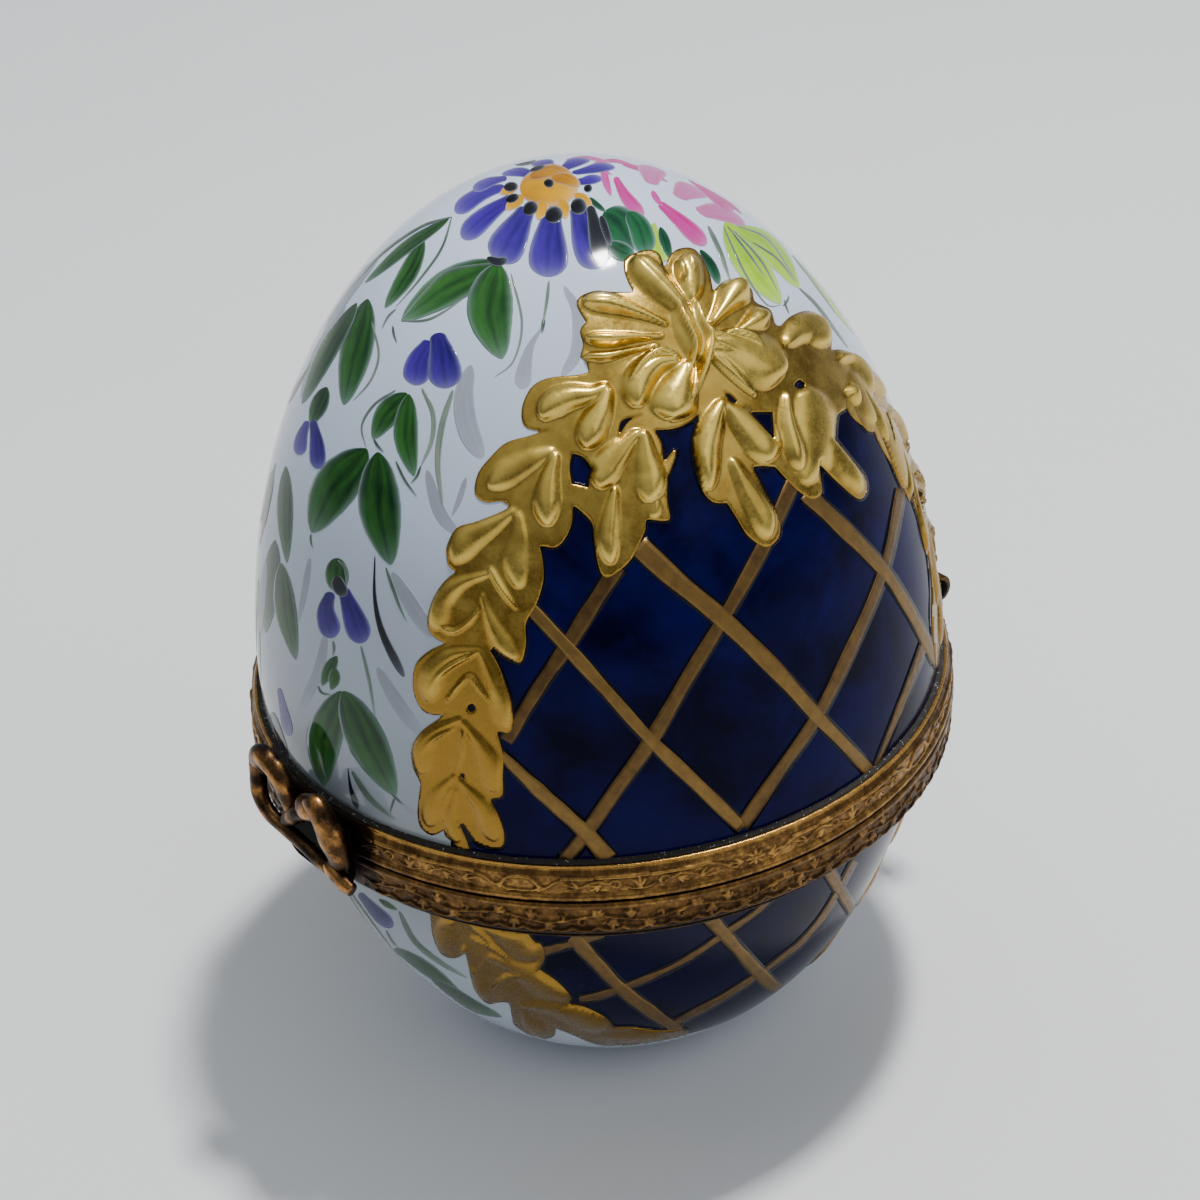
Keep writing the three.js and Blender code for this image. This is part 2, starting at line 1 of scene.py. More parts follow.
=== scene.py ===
"""Looks of a small porcelain egg box: smooth glazed halves with cobalt panels, a gold lattice and a
raised gilt garland, hand-painted flowers, chased brass mounts, a back hinge and a cast bow clasp.

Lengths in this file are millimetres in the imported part's frame (+Z up, -Y the clasp side) until a
mesh is made, where they become metres. Places given as (across, down) pairs are pixels of the
1200 x 1200 photograph. A pixel is carried onto the glaze by a ray from the photograph's camera.
"""

import math

import bpy
import numpy as np
from mathutils import Matrix, Vector


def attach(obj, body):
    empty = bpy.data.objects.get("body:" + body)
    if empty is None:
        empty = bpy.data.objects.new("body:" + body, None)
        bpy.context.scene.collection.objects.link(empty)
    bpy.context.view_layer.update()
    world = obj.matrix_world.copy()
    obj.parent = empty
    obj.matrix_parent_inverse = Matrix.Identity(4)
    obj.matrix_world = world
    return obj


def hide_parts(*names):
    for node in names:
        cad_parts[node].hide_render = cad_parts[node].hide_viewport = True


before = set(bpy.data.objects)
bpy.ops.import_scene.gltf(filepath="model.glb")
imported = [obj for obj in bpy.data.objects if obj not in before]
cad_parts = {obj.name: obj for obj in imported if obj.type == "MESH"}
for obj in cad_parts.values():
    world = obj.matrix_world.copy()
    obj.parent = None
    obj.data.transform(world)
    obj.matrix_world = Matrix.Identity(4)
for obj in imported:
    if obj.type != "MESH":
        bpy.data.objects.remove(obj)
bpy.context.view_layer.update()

MM = 0.001

# Egg
JOINT_Z = 25.2
WALL = 2.4
GLAZE_DEPTH = 0.03  # the glaze lies this far inside the solid, so that the paint stays within it
DOME_RADIUS = 23.5 - GLAZE_DEPTH
DOME_FOOT_Z = JOINT_Z + 2.75
DOME_RISE = 35.8 - GLAZE_DEPTH
DOME_TOP_Z = DOME_FOOT_Z + DOME_RISE
BOWL_TOP = (22.7, JOINT_Z - 3.95)
BOWL_BOTTOM = (9.9, 0.4)
LOWER_LEAN, LOWER_HANDLE = math.radians(30.5), 9.1  # from horizontal, at the foot
UPPER_LEAN, UPPER_HANDLE = math.radians(16.3), 9.0  # from vertical, below the mount
BOWL_HANDLES = ((BOWL_BOTTOM[0] + LOWER_HANDLE * math.cos(LOWER_LEAN),
                 BOWL_BOTTOM[1] + LOWER_HANDLE * math.sin(LOWER_LEAN)),
                (BOWL_TOP[0] - UPPER_HANDLE * math.sin(UPPER_LEAN),
                 BOWL_TOP[1] - UPPER_HANDLE * math.cos(UPPER_LEAN)))
RIM_BORE = DOME_RADIUS - WALL + 2 * GLAZE_DEPTH
INNER_RISE = DOME_RISE - WALL + 2 * GLAZE_DEPTH

# Decoration
PANEL_MIDDLE = -7.5  # azimuth of the middle of the cobalt panel on the right, in degrees
# The back panel and its gilding: turned by, elevations and width as shares of the front ones'. None
# of it stands out past the outline of the photograph.
BACK_TURN = 174
BACK_REACH = 0.76
BACK_WIDTH = 0.88

# Gilding
OUTLINE_WIDTH = 2.6  # dark line beside the gold, in pixels
PIXELS_PER_MM = 13
GOLD_EDGE_ON = {"dome": 0.07, "bowl": 0.12}  # least squareness to the camera at which gold is drawn

# Mounts
MOUNT_RADIUS = 24.45
HINGE_FLAT_Y = 23.9
HINGE_AXIS = (25.25, 24.6)
CLASP_FLAT_Y = -24.1
CATCH_FLAT_Y = -23.85
CLASP_FLAT_HALF = 3.9
KNUCKLES = 5
KNUCKLE_LENGTH = 3.2
KNUCKLE_PITCH = 3.35
BARREL_START = -8.3

# Photograph's camera: its place, the way it looks, and how far it is rolled, in degrees
CAMERA_PLACE = np.array([129.0621, -100.8344, 139.9842])
CAMERA_AZIMUTH = 141.89392
CAMERA_ELEVATION = -33.43178
CAMERA_ROLL = -4.14369
PHOTO_SIZE = 1200
PHOTO_FOCAL = 2859.883


def camera_directions():
    """The picture's right, up and depth: depth from azimuth and elevation, a level right and an up
    square to it, and both rolled about it."""
    aim, tilt, roll = np.radians([CAMERA_AZIMUTH, CAMERA_ELEVATION, CAMERA_ROLL])
    depth = np.array([np.cos(tilt) * np.cos(aim), np.cos(tilt) * np.sin(aim), np.sin(tilt)])
    level = np.array([np.sin(aim), -np.cos(aim), 0.0])
    up = np.cross(level, depth)
    return np.cos(roll) * level + np.sin(roll) * up, np.cos(roll) * up - np.sin(roll) * level, depth


CAMERA_RIGHT, CAMERA_UP, CAMERA_DEPTH = camera_directions()


# The egg's surface

def smooth_path(points, steps):
    """Catmull-Rom curve through points (n, k): a cubic on each span whose slope at a point is half
    the step between its neighbours. steps points are returned, evenly spaced in the curve's
    parameter."""
    points = np.asarray(points, float)
    if len(points) == 2:
        return points[0] + np.linspace(0, 1, steps)[:, None] * (points[1] - points[0])
    padded = np.vstack([2 * points[0] - points[1], points, 2 * points[-1] - points[-2]])
    place = np.linspace(0, len(points) - 1, steps)
    span = np.minimum(place.astype(int), len(points) - 2)
    t = (place - span)[:, None]
    p0, p1, p2, p3 = (padded[span + k] for k in range(4))
    return 0.5 * (2 * p1 + (p2 - p0) * t + (2 * p0 - 5 * p1 + 4 * p2 - p3) * t**2
                  + (3 * p1 - p0 - 3 * p2 + p3) * t**3)


def bowl_side(steps, inwards=GLAZE_DEPTH):
    """Cubic Bezier curve from the foot to the shoulder, (radius, z), moved inwards."""
    t = np.linspace(0, 1, steps)[:, None]
    a, b, c, d = (np.array(p) for p in (BOWL_BOTTOM, *BOWL_HANDLES, BOWL_TOP))
    side = a * (1 - t)**3 + 3 * b * t * (1 - t)**2 + 3 * c * t**2 * (1 - t) + d * t**3
    along = (b - a) * (1 - t)**2 + 2 * (c - b) * t * (1 - t) + (d - c) * t**2
    along /= np.linalg.norm(along, axis=1)[:, None]
    return side + inwards * np.stack([-along[:, 1], along[:, 0]], 1)


_side = bowl_side(400)


def bowl_radius(z):
    return np.interp(z, _side[:, 1], _side[:, 0])


def dome_radius(z):
    share = np.clip((z - DOME_FOOT_Z) / DOME_RISE, -1, 1)
    return DOME_RADIUS * np.sqrt(1 - share**2)


def dome_normal(points):
    """Outward direction of the ellipsoid: each coordinate over the square of its half axis."""
    n = points.copy()
    n[..., 2] -= DOME_FOOT_Z
    n /= np.array([DOME_RADIUS**2, DOME_RADIUS**2, DOME_RISE**2])
    return n / np.linalg.norm(n, axis=-1, keepdims=True)


def bowl_normal(points):
    """Outward direction of the bowl: radially out, tipped by how fast its radius grows with height."""
    radius = np.hypot(points[..., 0], points[..., 1])
    z = points[..., 2]
    slope = (bowl_radius(z + 0.05) - bowl_radius(z - 0.05)) / 0.1
    n = np.stack([points[..., 0] / radius, points[..., 1] / radius, -slope], -1)
    return n / np.linalg.norm(n, axis=-1, keepdims=True)


def cast_on_dome(pixels, widest=0.9995):
    """Where the rays of these pixels meet the lid's ellipsoid, scaled to a ball of radius 1: a ray's
    nearest place to the middle, brought in to widest where it is further out, then back towards the
    camera to the ball."""
    u, v = pixels[..., 0], pixels[..., 1]
    ray = (CAMERA_DEPTH + ((u - PHOTO_SIZE / 2) / PHOTO_FOCAL)[..., None] * CAMERA_RIGHT
           - ((v - PHOTO_SIZE / 2) / PHOTO_FOCAL)[..., None] * CAMERA_UP)
    scale = 1 / np.array([DOME_RADIUS, DOME_RADIUS, DOME_RISE])
    start = (CAMERA_PLACE - [0, 0, DOME_FOOT_Z]) * scale
    step = ray * scale
    step /= np.linalg.norm(step, axis=-1, keepdims=True)
    near = start - step * (step * start).sum(-1, keepdims=True)
    out = np.linalg.norm(near, axis=-1, keepdims=True)
    near *= np.minimum(1, widest / np.maximum(out, 1e-9))
    hit = near - step * np.sqrt(1 - np.minimum(out, widest)**2)
    hit /= np.linalg.norm(hit, axis=-1, keepdims=True)
    return hit / scale + [0, 0, DOME_FOOT_Z]


def cast_inside_dome_edge(pixels):
    """The same for brush strokes, which end where the glaze turns away from the camera."""
    return cast_on_dome(pixels, 0.993)


def cast_on_bowl(pixels):
    """Where the rays meet the bowl's side: halving steps between the camera and the ray's nearest
    approach to the axis."""
    u, v = pixels[..., 0], pixels[..., 1]
    ray = (CAMERA_DEPTH + ((u - PHOTO_SIZE / 2) / PHOTO_FOCAL)[..., None] * CAMERA_RIGHT
           - ((v - PHOTO_SIZE / 2) / PHOTO_FOCAL)[..., None] * CAMERA_UP)
    far = -(ray[..., :2] * CAMERA_PLACE[:2]).sum(-1) / (ray[..., :2]**2).sum(-1)
    near = far * 0.7
    for _ in range(32):
        middle = (near + far) / 2
        p = CAMERA_PLACE + ray * middle[..., None]
        outside = np.hypot(p[..., 0], p[..., 1]) > bowl_radius(p[..., 2])
        near, far = np.where(outside, middle, near), np.where(outside, far, middle)
    p = CAMERA_PLACE + ray * near[..., None]
    p[..., 2] = np.clip(p[..., 2], BOWL_BOTTOM[1] + 0.1, BOWL_TOP[1])
    p[..., :2] *= (bowl_radius(p[..., 2]) / np.hypot(p[..., 0], p[..., 1]))[..., None]
    return p


def unroll_on_dome(places):
    """(azimuth in degrees, z) to a point of the dome."""
    angle, z = np.radians(places[..., 0]), places[..., 1]
    radius = dome_radius(z)
    return np.stack([radius * np.cos(angle), radius * np.sin(angle), z], -1)


def unroll_on_bowl(places):
    angle, z = np.radians(places[..., 0]), places[..., 1]
    radius = bowl_radius(z)
    return np.stack([radius * np.cos(angle), radius * np.sin(angle), z], -1)


def drop_on_dome(places):
    """(x, y) seen from above to a point of the dome."""
    x, y = places[..., 0], places[..., 1]
    share = np.clip((x**2 + y**2) / DOME_RADIUS**2, 0, 1)
    return np.stack([x, y, DOME_FOOT_Z + DOME_RISE * np.sqrt(1 - share)], -1)


SURFACES = {
    "dome": (cast_on_dome, dome_normal),
    "painted dome": (cast_inside_dome_edge, dome_normal),
    "bowl": (cast_on_bowl, bowl_normal),
    "dome wall": (unroll_on_dome, dome_normal),
    "bowl wall": (unroll_on_bowl, bowl_normal),
    "dome top": (drop_on_dome, dome_normal),
}


def azimuth(points):
    return np.degrees(np.arctan2(points[..., 1], points[..., 0]))


def turned_copy(points, degrees):
    """Points turned about the egg's axis."""
    c, s = math.cos(math.radians(degrees)), math.sin(math.radians(degrees))
    return points @ np.array([[c, s, 0], [-s, c, 0], [0, 0, 1]])


def lowered_copy(points, reach):
    """Points of the dome whose elevation along its ellipse is scaled by reach."""
    across, up = np.hypot(points[..., 0], points[..., 1]), (points[..., 2] - DOME_FOOT_Z) / DOME_RISE
    elevation = np.arctan2(up, across / DOME_RADIUS) * reach
    factor = DOME_RADIUS * np.cos(elevation) / np.maximum(across, 1e-6)
    return np.stack([points[..., 0] * factor, points[..., 1] * factor,
                     DOME_FOOT_Z + DOME_RISE * np.sin(elevation)], -1)


def narrowed_copy(points, middle, width):
    """Points whose azimuth from middle is scaled by width."""
    radius, angle = np.hypot(points[..., 0], points[..., 1]), azimuth(points) - middle
    angle = np.radians(middle + width * (np.mod(angle + 180, 360) - 180))
    return np.stack([radius * np.cos(angle), radius * np.sin(angle), points[..., 2]], -1)


def mirrored_copy(points, middle):
    """Points mirrored in the upright plane through the axis at azimuth middle."""
    c, s = math.cos(math.radians(2 * middle)), math.sin(math.radians(2 * middle))
    return points @ np.array([[c, s, 0], [s, -c, 0], [0, 0, 1]])


# Closed surfaces. Each is a dictionary of points, faces and the painting's tone and cover at a point.

def as_skin(points, quads, tris=(), tone=0.5, cover=1.0, along=0.0, across=0.0, walls=0):
    """A closed surface whose faces are turned outwards: where its signed volume is negative, every
    face is reversed. Its last walls quads are shaded flat."""
    points = np.asarray(points, float).reshape(-1, 3)
    quads = np.asarray(quads, int).reshape(-1, 4)
    tris = np.asarray(tris, int).reshape(-1, 3)
    corners = np.vstack([tris, quads[:, :3], quads[:, [0, 2, 3]]])
    a, b, c = (points[corners[:, k]] - points[0] for k in range(3))
    if np.einsum("ij,ij->i", a, np.cross(b, c)).sum() < 0:
        quads, tris = quads[:, ::-1], tris[:, ::-1]

    def fill(value):
        return np.resize(np.asarray(value, float).ravel(), len(points))

    return {"points": points, "quads": quads, "tris": tris, "tone": fill(tone), "cover": fill(cover),
            "along": fill(along), "across": fill(across), "walls": walls}


def moved_skin(skin, points):
    """The same surface with other points, turned outwards again."""
    return as_skin(points, skin["quads"], skin["tris"], skin["tone"], skin["cover"], skin["along"],
                   skin["across"], skin["walls"])


def ring_faces(rows, around, wrap_rows):
    """Quads of a grid whose rows run round in loops."""
    r = np.arange(rows if wrap_rows else rows - 1)[:, None]
    k = np.arange(around)[None, :]
    below, above = r * around, (r + 1) % rows * around
    nxt = (k + 1) % around
    return np.stack([below + k, below + nxt, above + nxt, above + k], -1).reshape(-1, 4)


def loft(loops, wrap=False, **paint):
    """Surface through loops of points (rows, around, 3). It either wraps from the last loop to the
    first, or is closed at both ends by a fan to the end loop's middle."""
    rows, around = loops.shape[:2]
    quads = ring_faces(rows, around, wrap)
    if wrap:
        return as_skin(loops, quads, **paint)
    points = np.vstack([loops.reshape(-1, 3), loops[0].mean(0), loops[-1].mean(0)])
    k = np.arange(around)
    nxt = (k + 1) % around
    first, last = rows * around, rows * around + 1
    tris = np.vstack([
        np.stack([nxt, k, np.full(around, first)], -1),
        np.stack([(rows - 1) * around + k, (rows - 1) * around + nxt, np.full(around, last)], -1),
    ])
    for key, value in paint.items():
        if np.size(value) == rows * around:
            value = np.asarray(value, float).reshape(rows, around)
            paint[key] = np.concatenate([value.ravel(), [value[0].mean(), value[-1].mean()]])
    return as_skin(points, quads, tris, **paint)


def slab(top, bottom, **paint):
    """Surface between two grids (rows, columns, 3), one over the other, with walls along the four
    edges."""
    rows, columns = top.shape[:2]
    count = rows * columns
    index = np.arange(count).reshape(rows, columns)
    face = np.stack([index[:-1, :-1], index[:-1, 1:], index[1:, 1:], index[1:, :-1]], -1).reshape(-1, 4)
    edge = np.concatenate([index[0], index[1:, -1], index[-1, -2::-1], index[-2:0:-1, 0]])
    nxt = np.roll(edge, -1)
    wall = np.stack([edge, edge + count, nxt + count, nxt], -1)
    quads = np.vstack([face, face[:, ::-1] + count, wall])
    paint = {key: np.tile(np.ravel(value), 2) if np.size(value) == count else value
             for key, value in paint.items()}
    return as_skin(np.concatenate([top.reshape(-1, 3), bottom.reshape(-1, 3)]), quads, walls=len(wall),
                   **paint)


def turn(profile, columns, relief=None, ring=False, **paint):
    """Surface of revolution of a profile [(radius, z), ...] about +Z. relief(radius, z, azimuth)
    changes the points before they are turned. A ring's profile closes on itself; any other one has
    its ends on the axis."""
    profile = np.asarray(profile, float)
    if not ring:
        profile = profile[1:-1]
    angle = np.linspace(0, 2 * math.pi, columns, endpoint=False)
    radius = np.repeat(profile[:, :1], columns, 1)
    z = np.repeat(profile[:, 1:], columns, 1)
    if relief is not None:
        radius, z = relief(radius, z, np.broadcast_to(angle, radius.shape))
    loops = np.stack([radius * np.cos(angle), radius * np.sin(angle), z], -1)
    return loft(loops, wrap=ring, **paint)


def sweep(path, half_width, half_depth, across, around, steps):
    """Oval section carried along a smooth path. across is the direction the section's wide axis is
    squared from, and half_width and half_depth are lists of values along the path."""
    line = smooth_path(path, steps)
    tangent = np.gradient(line, axis=0)
    tangent /= np.linalg.norm(tangent, axis=1)[:, None]
    wide = np.cross(tangent, across)
    wide /= np.linalg.norm(wide, axis=1)[:, None]
    deep = np.cross(wide, tangent)
    share = np.linspace(0, 1, steps)
    width = np.interp(share, np.linspace(0, 1, len(half_width)), half_width)[:, None]
    depth = np.interp(share, np.linspace(0, 1, len(half_depth)), half_depth)[:, None]
    phi = np.linspace(0, 2 * math.pi, around, endpoint=False)[None, :]
    x = width * np.cos(phi)
    y = depth * np.sin(phi)
    return loft(line[:, None] + x[..., None] * wide[:, None] + y[..., None] * deep[:, None])


# Brush strokes and gilt lobes. A stroke's width along its length is a share of its greatest width.
BRUSHES = {  # shares at even steps from base to tip, then how much of each end is rounded off
    "leaf": ((0.25, 0.72, 0.96, 1.0, 0.86, 0.58, 0.2), 0.10, 0.10),
    "petal": ((0.45, 0.56, 0.74, 0.90, 1.0, 0.98, 0.92), 0.08, 0.24),
    "club": ((0.20, 0.32, 0.52, 0.76, 0.96, 1.0, 0.98), 0.06, 0.30),
    "lobe": ((0.40, 0.70, 0.90, 1.0, 1.0, 0.97, 0.92), 0.12, 0.30),
    "swell_lobe": ((0.34, 0.52, 0.72, 0.90, 1.0, 1.0, 0.94), 0.10, 0.34),
    "leaf_lobe": ((0.42, 0.74, 0.94, 1.0, 0.98, 0.90, 0.74), 0.10, 0.30),
    "oval": ((1.0, 1.0, 1.0, 1.0, 1.0, 1.0, 1.0), 0.5, 0.5),
    "line": ((0.45, 0.9, 1.0, 1.0, 0.9, 0.65, 0.2), 0.05, 0.05),
    "taper": ((1.0, 0.95, 0.85, 0.7, 0.5, 0.3, 0.12), 0.04, 0.04),
    "swell": ((0.12, 0.25, 0.42, 0.62, 0.85, 1.0, 0.7), 0.04, 0.10),
    "band": ((1.0, 1.0, 1.0, 1.0, 1.0, 1.0, 1.0), 0.0, 0.0),
}


def stroke_grid(path, width, brush, steps, columns):
    """Flat grid of a stroke: points along a smooth path, offset across it by s times half the local
    width for s from -1 to 1. An end is rounded off as half an ellipse."""
    shares, round_start, round_end = BRUSHES[brush]
    t = (1 - np.cos(np.linspace(0, math.pi, steps))) / 2
    if brush == "band":
        t = np.linspace(0, 1, steps)
    line = smooth_path(path, 200)
    gaps = np.linalg.norm(np.diff(line, axis=0), axis=1)
    travelled = np.concatenate([[0], np.cumsum(gaps)])
    centre = np.stack([np.interp(t * travelled[-1], travelled, line[:, k]) for k in (0, 1)], 1)
    along = np.gradient(centre, axis=0)
    along /= np.linalg.norm(along, axis=1)[:, None] + 1e-9
    local = np.interp(t, np.linspace(0, 1, len(shares)), shares)
    if round_start:
        local = local * np.sqrt(np.clip(1 - ((round_start - t) / round_start).clip(0)**2, 0, 1))
    if round_end:
        local = local * np.sqrt(np.clip(1 - ((t - 1 + round_end) / round_end).clip(0)**2, 0, 1))
    half = np.maximum(local * width / 2, 0.02 * min(width, 1))
    s = np.linspace(-1, 1, columns)
    side = np.stack([along[:, 1], -along[:, 0]], 1)
    grid = centre[:, None] + side[:, None] * (half[:, None] * s)[..., None]
    return grid, t[:, None] + 0 * s, s[None, :] + 0 * t[:, None]


def on_glaze(places, surface, turn_by=0, mirror=None, reach=1.0, width=1.0):
    """Flat places carried onto the glaze, with its outward direction there. They may be mirrored in
    the panel's middle, lowered by reach, narrowed by width and turned about the axis, in this order."""
    place, outward = SURFACES[surface]
    points = place(places)
    if mirror is not None:
        points = mirrored_copy(points, mirror)
    if reach != 1:
        points = lowered_copy(points, reach)
    if width != 1:
        points = narrowed_copy(points, PANEL_MIDDLE, width)
    if turn_by:
        points = turned_copy(points, turn_by)
    return points, outward(points)


def lay(grid, surface, lift, sink=0.12, turn_by=0, mirror=None, reach=1.0, width=1.0, **paint):
    """A flat grid laid on the glaze as a closed slab: its top lies lift outside the glaze and its
    bottom sink inside it."""
    points, n = on_glaze(grid, surface, turn_by, mirror, reach, width)
    return slab(points + n * lift, points - n * sink, **paint)


def paint_stroke(path, width, brush="leaf", surface="dome", lift=0.012, dark=0.5, thin=1.0, vein=0.35,
                 edge=0.0, steps=32, columns=19, **place):
    """One brush stroke of colour. Its tone is dark along the middle by vein, and along one side by
    edge, and its cover fades towards both edges and the tip."""
    grid, t, s = stroke_grid(path, width, brush, steps, columns)
    tone = dark + vein * (np.exp(-(s / 0.24)**2) - 0.25) + edge * s + 0.30 * (0.45 - t)
    cover = thin * (1 - 0.30 * np.abs(s)**8) * (1 - 0.20 * t**8)
    return lay(grid, surface, lift, sink=0.05, tone=tone, cover=cover, along=t * 6, across=s,
               **place)


# Gilding: sheets cut out of a grid of pixels along drawn edges, whose height is a field of lobes
def edge_line(runs, step=2.5):
    """Closed outline made of curves that meet in sharp notches. Each run of points starts where the
    run before it ends."""
    parts = []
    for before, run in zip(runs[-1:] + runs[:-1], runs):
        points = np.array([before[-1], *run], float)
        length = np.linalg.norm(np.diff(points, axis=0), axis=1).sum()
        parts.append(smooth_path(points, max(int(length / step), 2))[:-1])
    return np.vstack(parts)


def distance_inside(places, line):
    """Distance from places (n, 2) to a closed line, negative outside: the least distance to its
    segments, with its sign from how often a level ray crosses them."""
    x, y = places[:, 0], places[:, 1]
    least = np.full(len(places), 1e9)
    inside = np.zeros(len(places), bool)
    for (ax, ay), (bx, by) in zip(line, np.roll(line, -1, 0)):
        dx, dy = bx - ax, by - ay
        t = np.clip(((x - ax) * dx + (y - ay) * dy) / (dx * dx + dy * dy + 1e-9), 0, 1)
        least = np.minimum(least, (x - ax - t * dx)**2 + (y - ay - t * dy)**2)
        if ay != by:
            inside ^= ((ay > y) != (by > y)) & (x < ax + (y - ay) * dx / dy)
    return np.where(inside, 1, -1) * np.sqrt(least)


def lobe_field(lobes, places):
    """Height in millimetres and painted brown shade at places, from lobes (path, width, rise, brush, dish,
    extra). A lobe's height is rise times (1 - s squared) to the 1.35, where s is the distance from its
    path over its half width there; dish hollows its middle and deepens the painted shade along it, which
    every lobe has a little of, and a groove cuts it. Heights join by the fourth root of the sum of their
    fourth powers."""
    fourth = np.zeros(len(places))
    brown = np.zeros(len(places))
    for path, width, rise, brush, dish, extra in lobes:
        line = smooth_path(path, 24)
        near = ((places > line.min(0) - width) & (places < line.max(0) + width)).all(1)
        p = places[near]
        if not len(p):
            continue
        start, step = line[:-1], np.diff(line, axis=0)
        t = ((p[:, None] - start) * step).sum(-1) / (step**2).sum(-1)
        t = np.clip(t, 0, 1)
        away = p[:, None] - start - t[..., None] * step
        far = (away**2).sum(-1)
        nearest = far.argmin(1)
        row = np.arange(len(p))
        along = (nearest + t[row, nearest]) / len(step)
        off = away[row, nearest]
        side = np.sign(off[:, 0] * step[nearest, 1] - off[:, 1] * step[nearest, 0])
        shares, round_start, round_end = BRUSHES[brush]
        local = np.interp(along, np.linspace(0, 1, len(shares)), shares)
        for reach, rounding in ((along, round_start), (1 - along, round_end)):
            if rounding:
                local = local * np.sqrt(np.clip(1 - ((rounding - reach) / rounding).clip(0)**2, 0, 1))
        s = np.sqrt(far[row, nearest]) / np.maximum(local * width / 2, 0.01)
        signed = s * side - extra.get("lean", 0.0) * (1 - s**2)
        h = np.clip(1 - s**2, 0, 1)**1.35 * np.clip(1 - (signed - s * side)**2, 0, 1)
        h *= rise * (local / max(shares))**0.6
        hollow = np.exp(-(s / 0.50)**2) * np.clip(np.sin(math.pi * np.clip(along * 1.1, 0, 1)), 0, 1)
        h *= 1 - dish * hollow
        h *= 1 - extra.get("groove", 0.0) * np.exp(-(signed / 0.14)**2)
        fourth[near] += h**4
        # painted shade along the middle of each lobe, deeper where dish hollows it
        brown[near] = np.maximum(brown[near], (h > 0) * hollow * min(1.0, 1.5 * dish + 0.15))
    return fourth**0.25, brown


def cut_sheet(low, high, step, inside, surface, lift, sink=0.10, field=None, copies=({},), tone=0.5):
    """Closed sheet cut out of a square grid of pixels. Cells whose middle is inside are kept, and
    their outermost corners are moved along the slope of that distance onto its zero line. The top
    is lift outside the glaze, less at the eased edge, plus the height that field gives."""
    across, down = np.arange(low[0], high[0] + step, step), np.arange(low[1], high[1] + step, step)
    grid = np.stack(np.meshgrid(across, down), -1)
    reach = inside(grid.reshape(-1, 2)).reshape(grid.shape[:2])
    keep = (reach[:-1, :-1] + reach[1:, :-1] + reach[:-1, 1:] + reach[1:, 1:]) > 0
    for _ in range(6):  # cells that would touch at one corner only get their neighbours
        a, b, c, d = keep[:-1, :-1], keep[:-1, 1:], keep[1:, :-1], keep[1:, 1:]
        pinch = (a & d & ~b & ~c) | (b & c & ~a & ~d)
        for part in (a, b, c, d):
            part |= pinch
    index = np.arange(reach.size).reshape(reach.shape)
    cells = np.stack([index[:-1, :-1], index[:-1, 1:], index[1:, 1:], index[1:, :-1]], -1)[keep]
    edges = cells[:, [[0, 1], [1, 2], [2, 3], [3, 0]]].reshape(-1, 2)
    rim = edges[~np.isin(edges @ [reach.size, 1], edges @ [1, reach.size])]
    used = np.unique(cells)
    numbers = np.zeros(reach.size, int)
    numbers[used] = np.arange(len(used))
    cells, rim = numbers[cells], numbers[rim]
    slope = np.stack(np.gradient(reach, step)[::-1], -1).reshape(-1, 2)[used]
    slope /= np.maximum(np.linalg.norm(slope, axis=1), 0.4)[:, None]
    places, depth = grid.reshape(-1, 2)[used], reach.ravel()[used]
    border = np.unique(rim)
    places[border] -= (np.clip(depth[border], -1.1 * step, 1.1 * step)[:, None] * slope[border])
    depth[border] = 0
    height, brown = field(places) if field else (np.zeros(len(places)), np.zeros(len(places)))
    rise = lift * np.clip(0.70 + depth / 6, 0, 1) + height * np.clip(depth / 5, 0, 1)
    tone_and_painted_light = tone
    if field:
        # painted highlight on high relief and painted shade in the hollows; also darker along the eased edge
        tone_and_painted_light = tone + 0.42 * height / (0.45 + height) - 0.30 * brown - 0.16 * np.clip(1 - depth / 2.5, 0, 1)
    quads = np.vstack([cells, cells[:, ::-1] + len(used),
                       np.stack([rim[:, 1], rim[:, 0], rim[:, 0] + len(used), rim[:, 1] + len(used)], 1)])
    skins = []
    for copy in copies:
        points, n = on_glaze(places, surface, **copy)
        skins.append(as_skin(np.vstack([points + n * rise[:, None], points - n * sink]), quads,
                             tone=np.tile(tone_and_painted_light, 2) if field else tone_and_painted_light, cover=np.tile(height, 2), along=0.5,
                             walls=len(rim)))
    return skins


def make_piece(name, skins, body, material, replaces=()):
    """Joins closed surfaces into one smooth-shaded object at the origin, in metres, with the tone,
    the cover and the place along and across each stroke kept as attributes."""
    starts = np.cumsum([0] + [len(s["points"]) for s in skins])
    points = np.vstack([s["points"] for s in skins]) * MM
    quads = np.vstack([s["quads"] + k for s, k in zip(skins, starts)])
    tris = np.vstack([s["tris"] + k for s, k in zip(skins, starts)])
    mesh = bpy.data.meshes.new(name)
    mesh.vertices.add(len(points))
    mesh.vertices.foreach_set("co", points.astype(np.float32).ravel())
    mesh.loops.add(quads.size + tris.size)
    mesh.loops.foreach_set("vertex_index", np.concatenate([quads.ravel(), tris.ravel()]).astype(np.int32))
    sizes = np.concatenate([np.full(len(quads), 4), np.full(len(tris), 3)]).astype(np.int32)
    mesh.polygons.add(len(sizes))
    mesh.polygons.foreach_set("loop_start", (np.cumsum(sizes) - sizes).astype(np.int32))
    smooth = np.concatenate([np.arange(len(s["quads"])) < len(s["quads"]) - s["walls"] for s in skins])
    mesh.polygons.foreach_set("use_smooth", np.concatenate([smooth, np.ones(len(tris), bool)]))
    for key in ("tone", "cover", "along", "across"):
        attribute = mesh.attributes.new(key, "FLOAT", "POINT")
        attribute.data.foreach_set("value", np.concatenate([s[key] for s in skins]).astype(np.float32))
    mesh.update(calc_edges=True)
    mesh.validate()
    mesh.materials.append(material)
    piece = bpy.data.objects.new(name, mesh)
    bpy.context.scene.collection.objects.link(piece)
    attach(piece, body)
    if replaces:
        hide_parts(*replaces)
    return piece


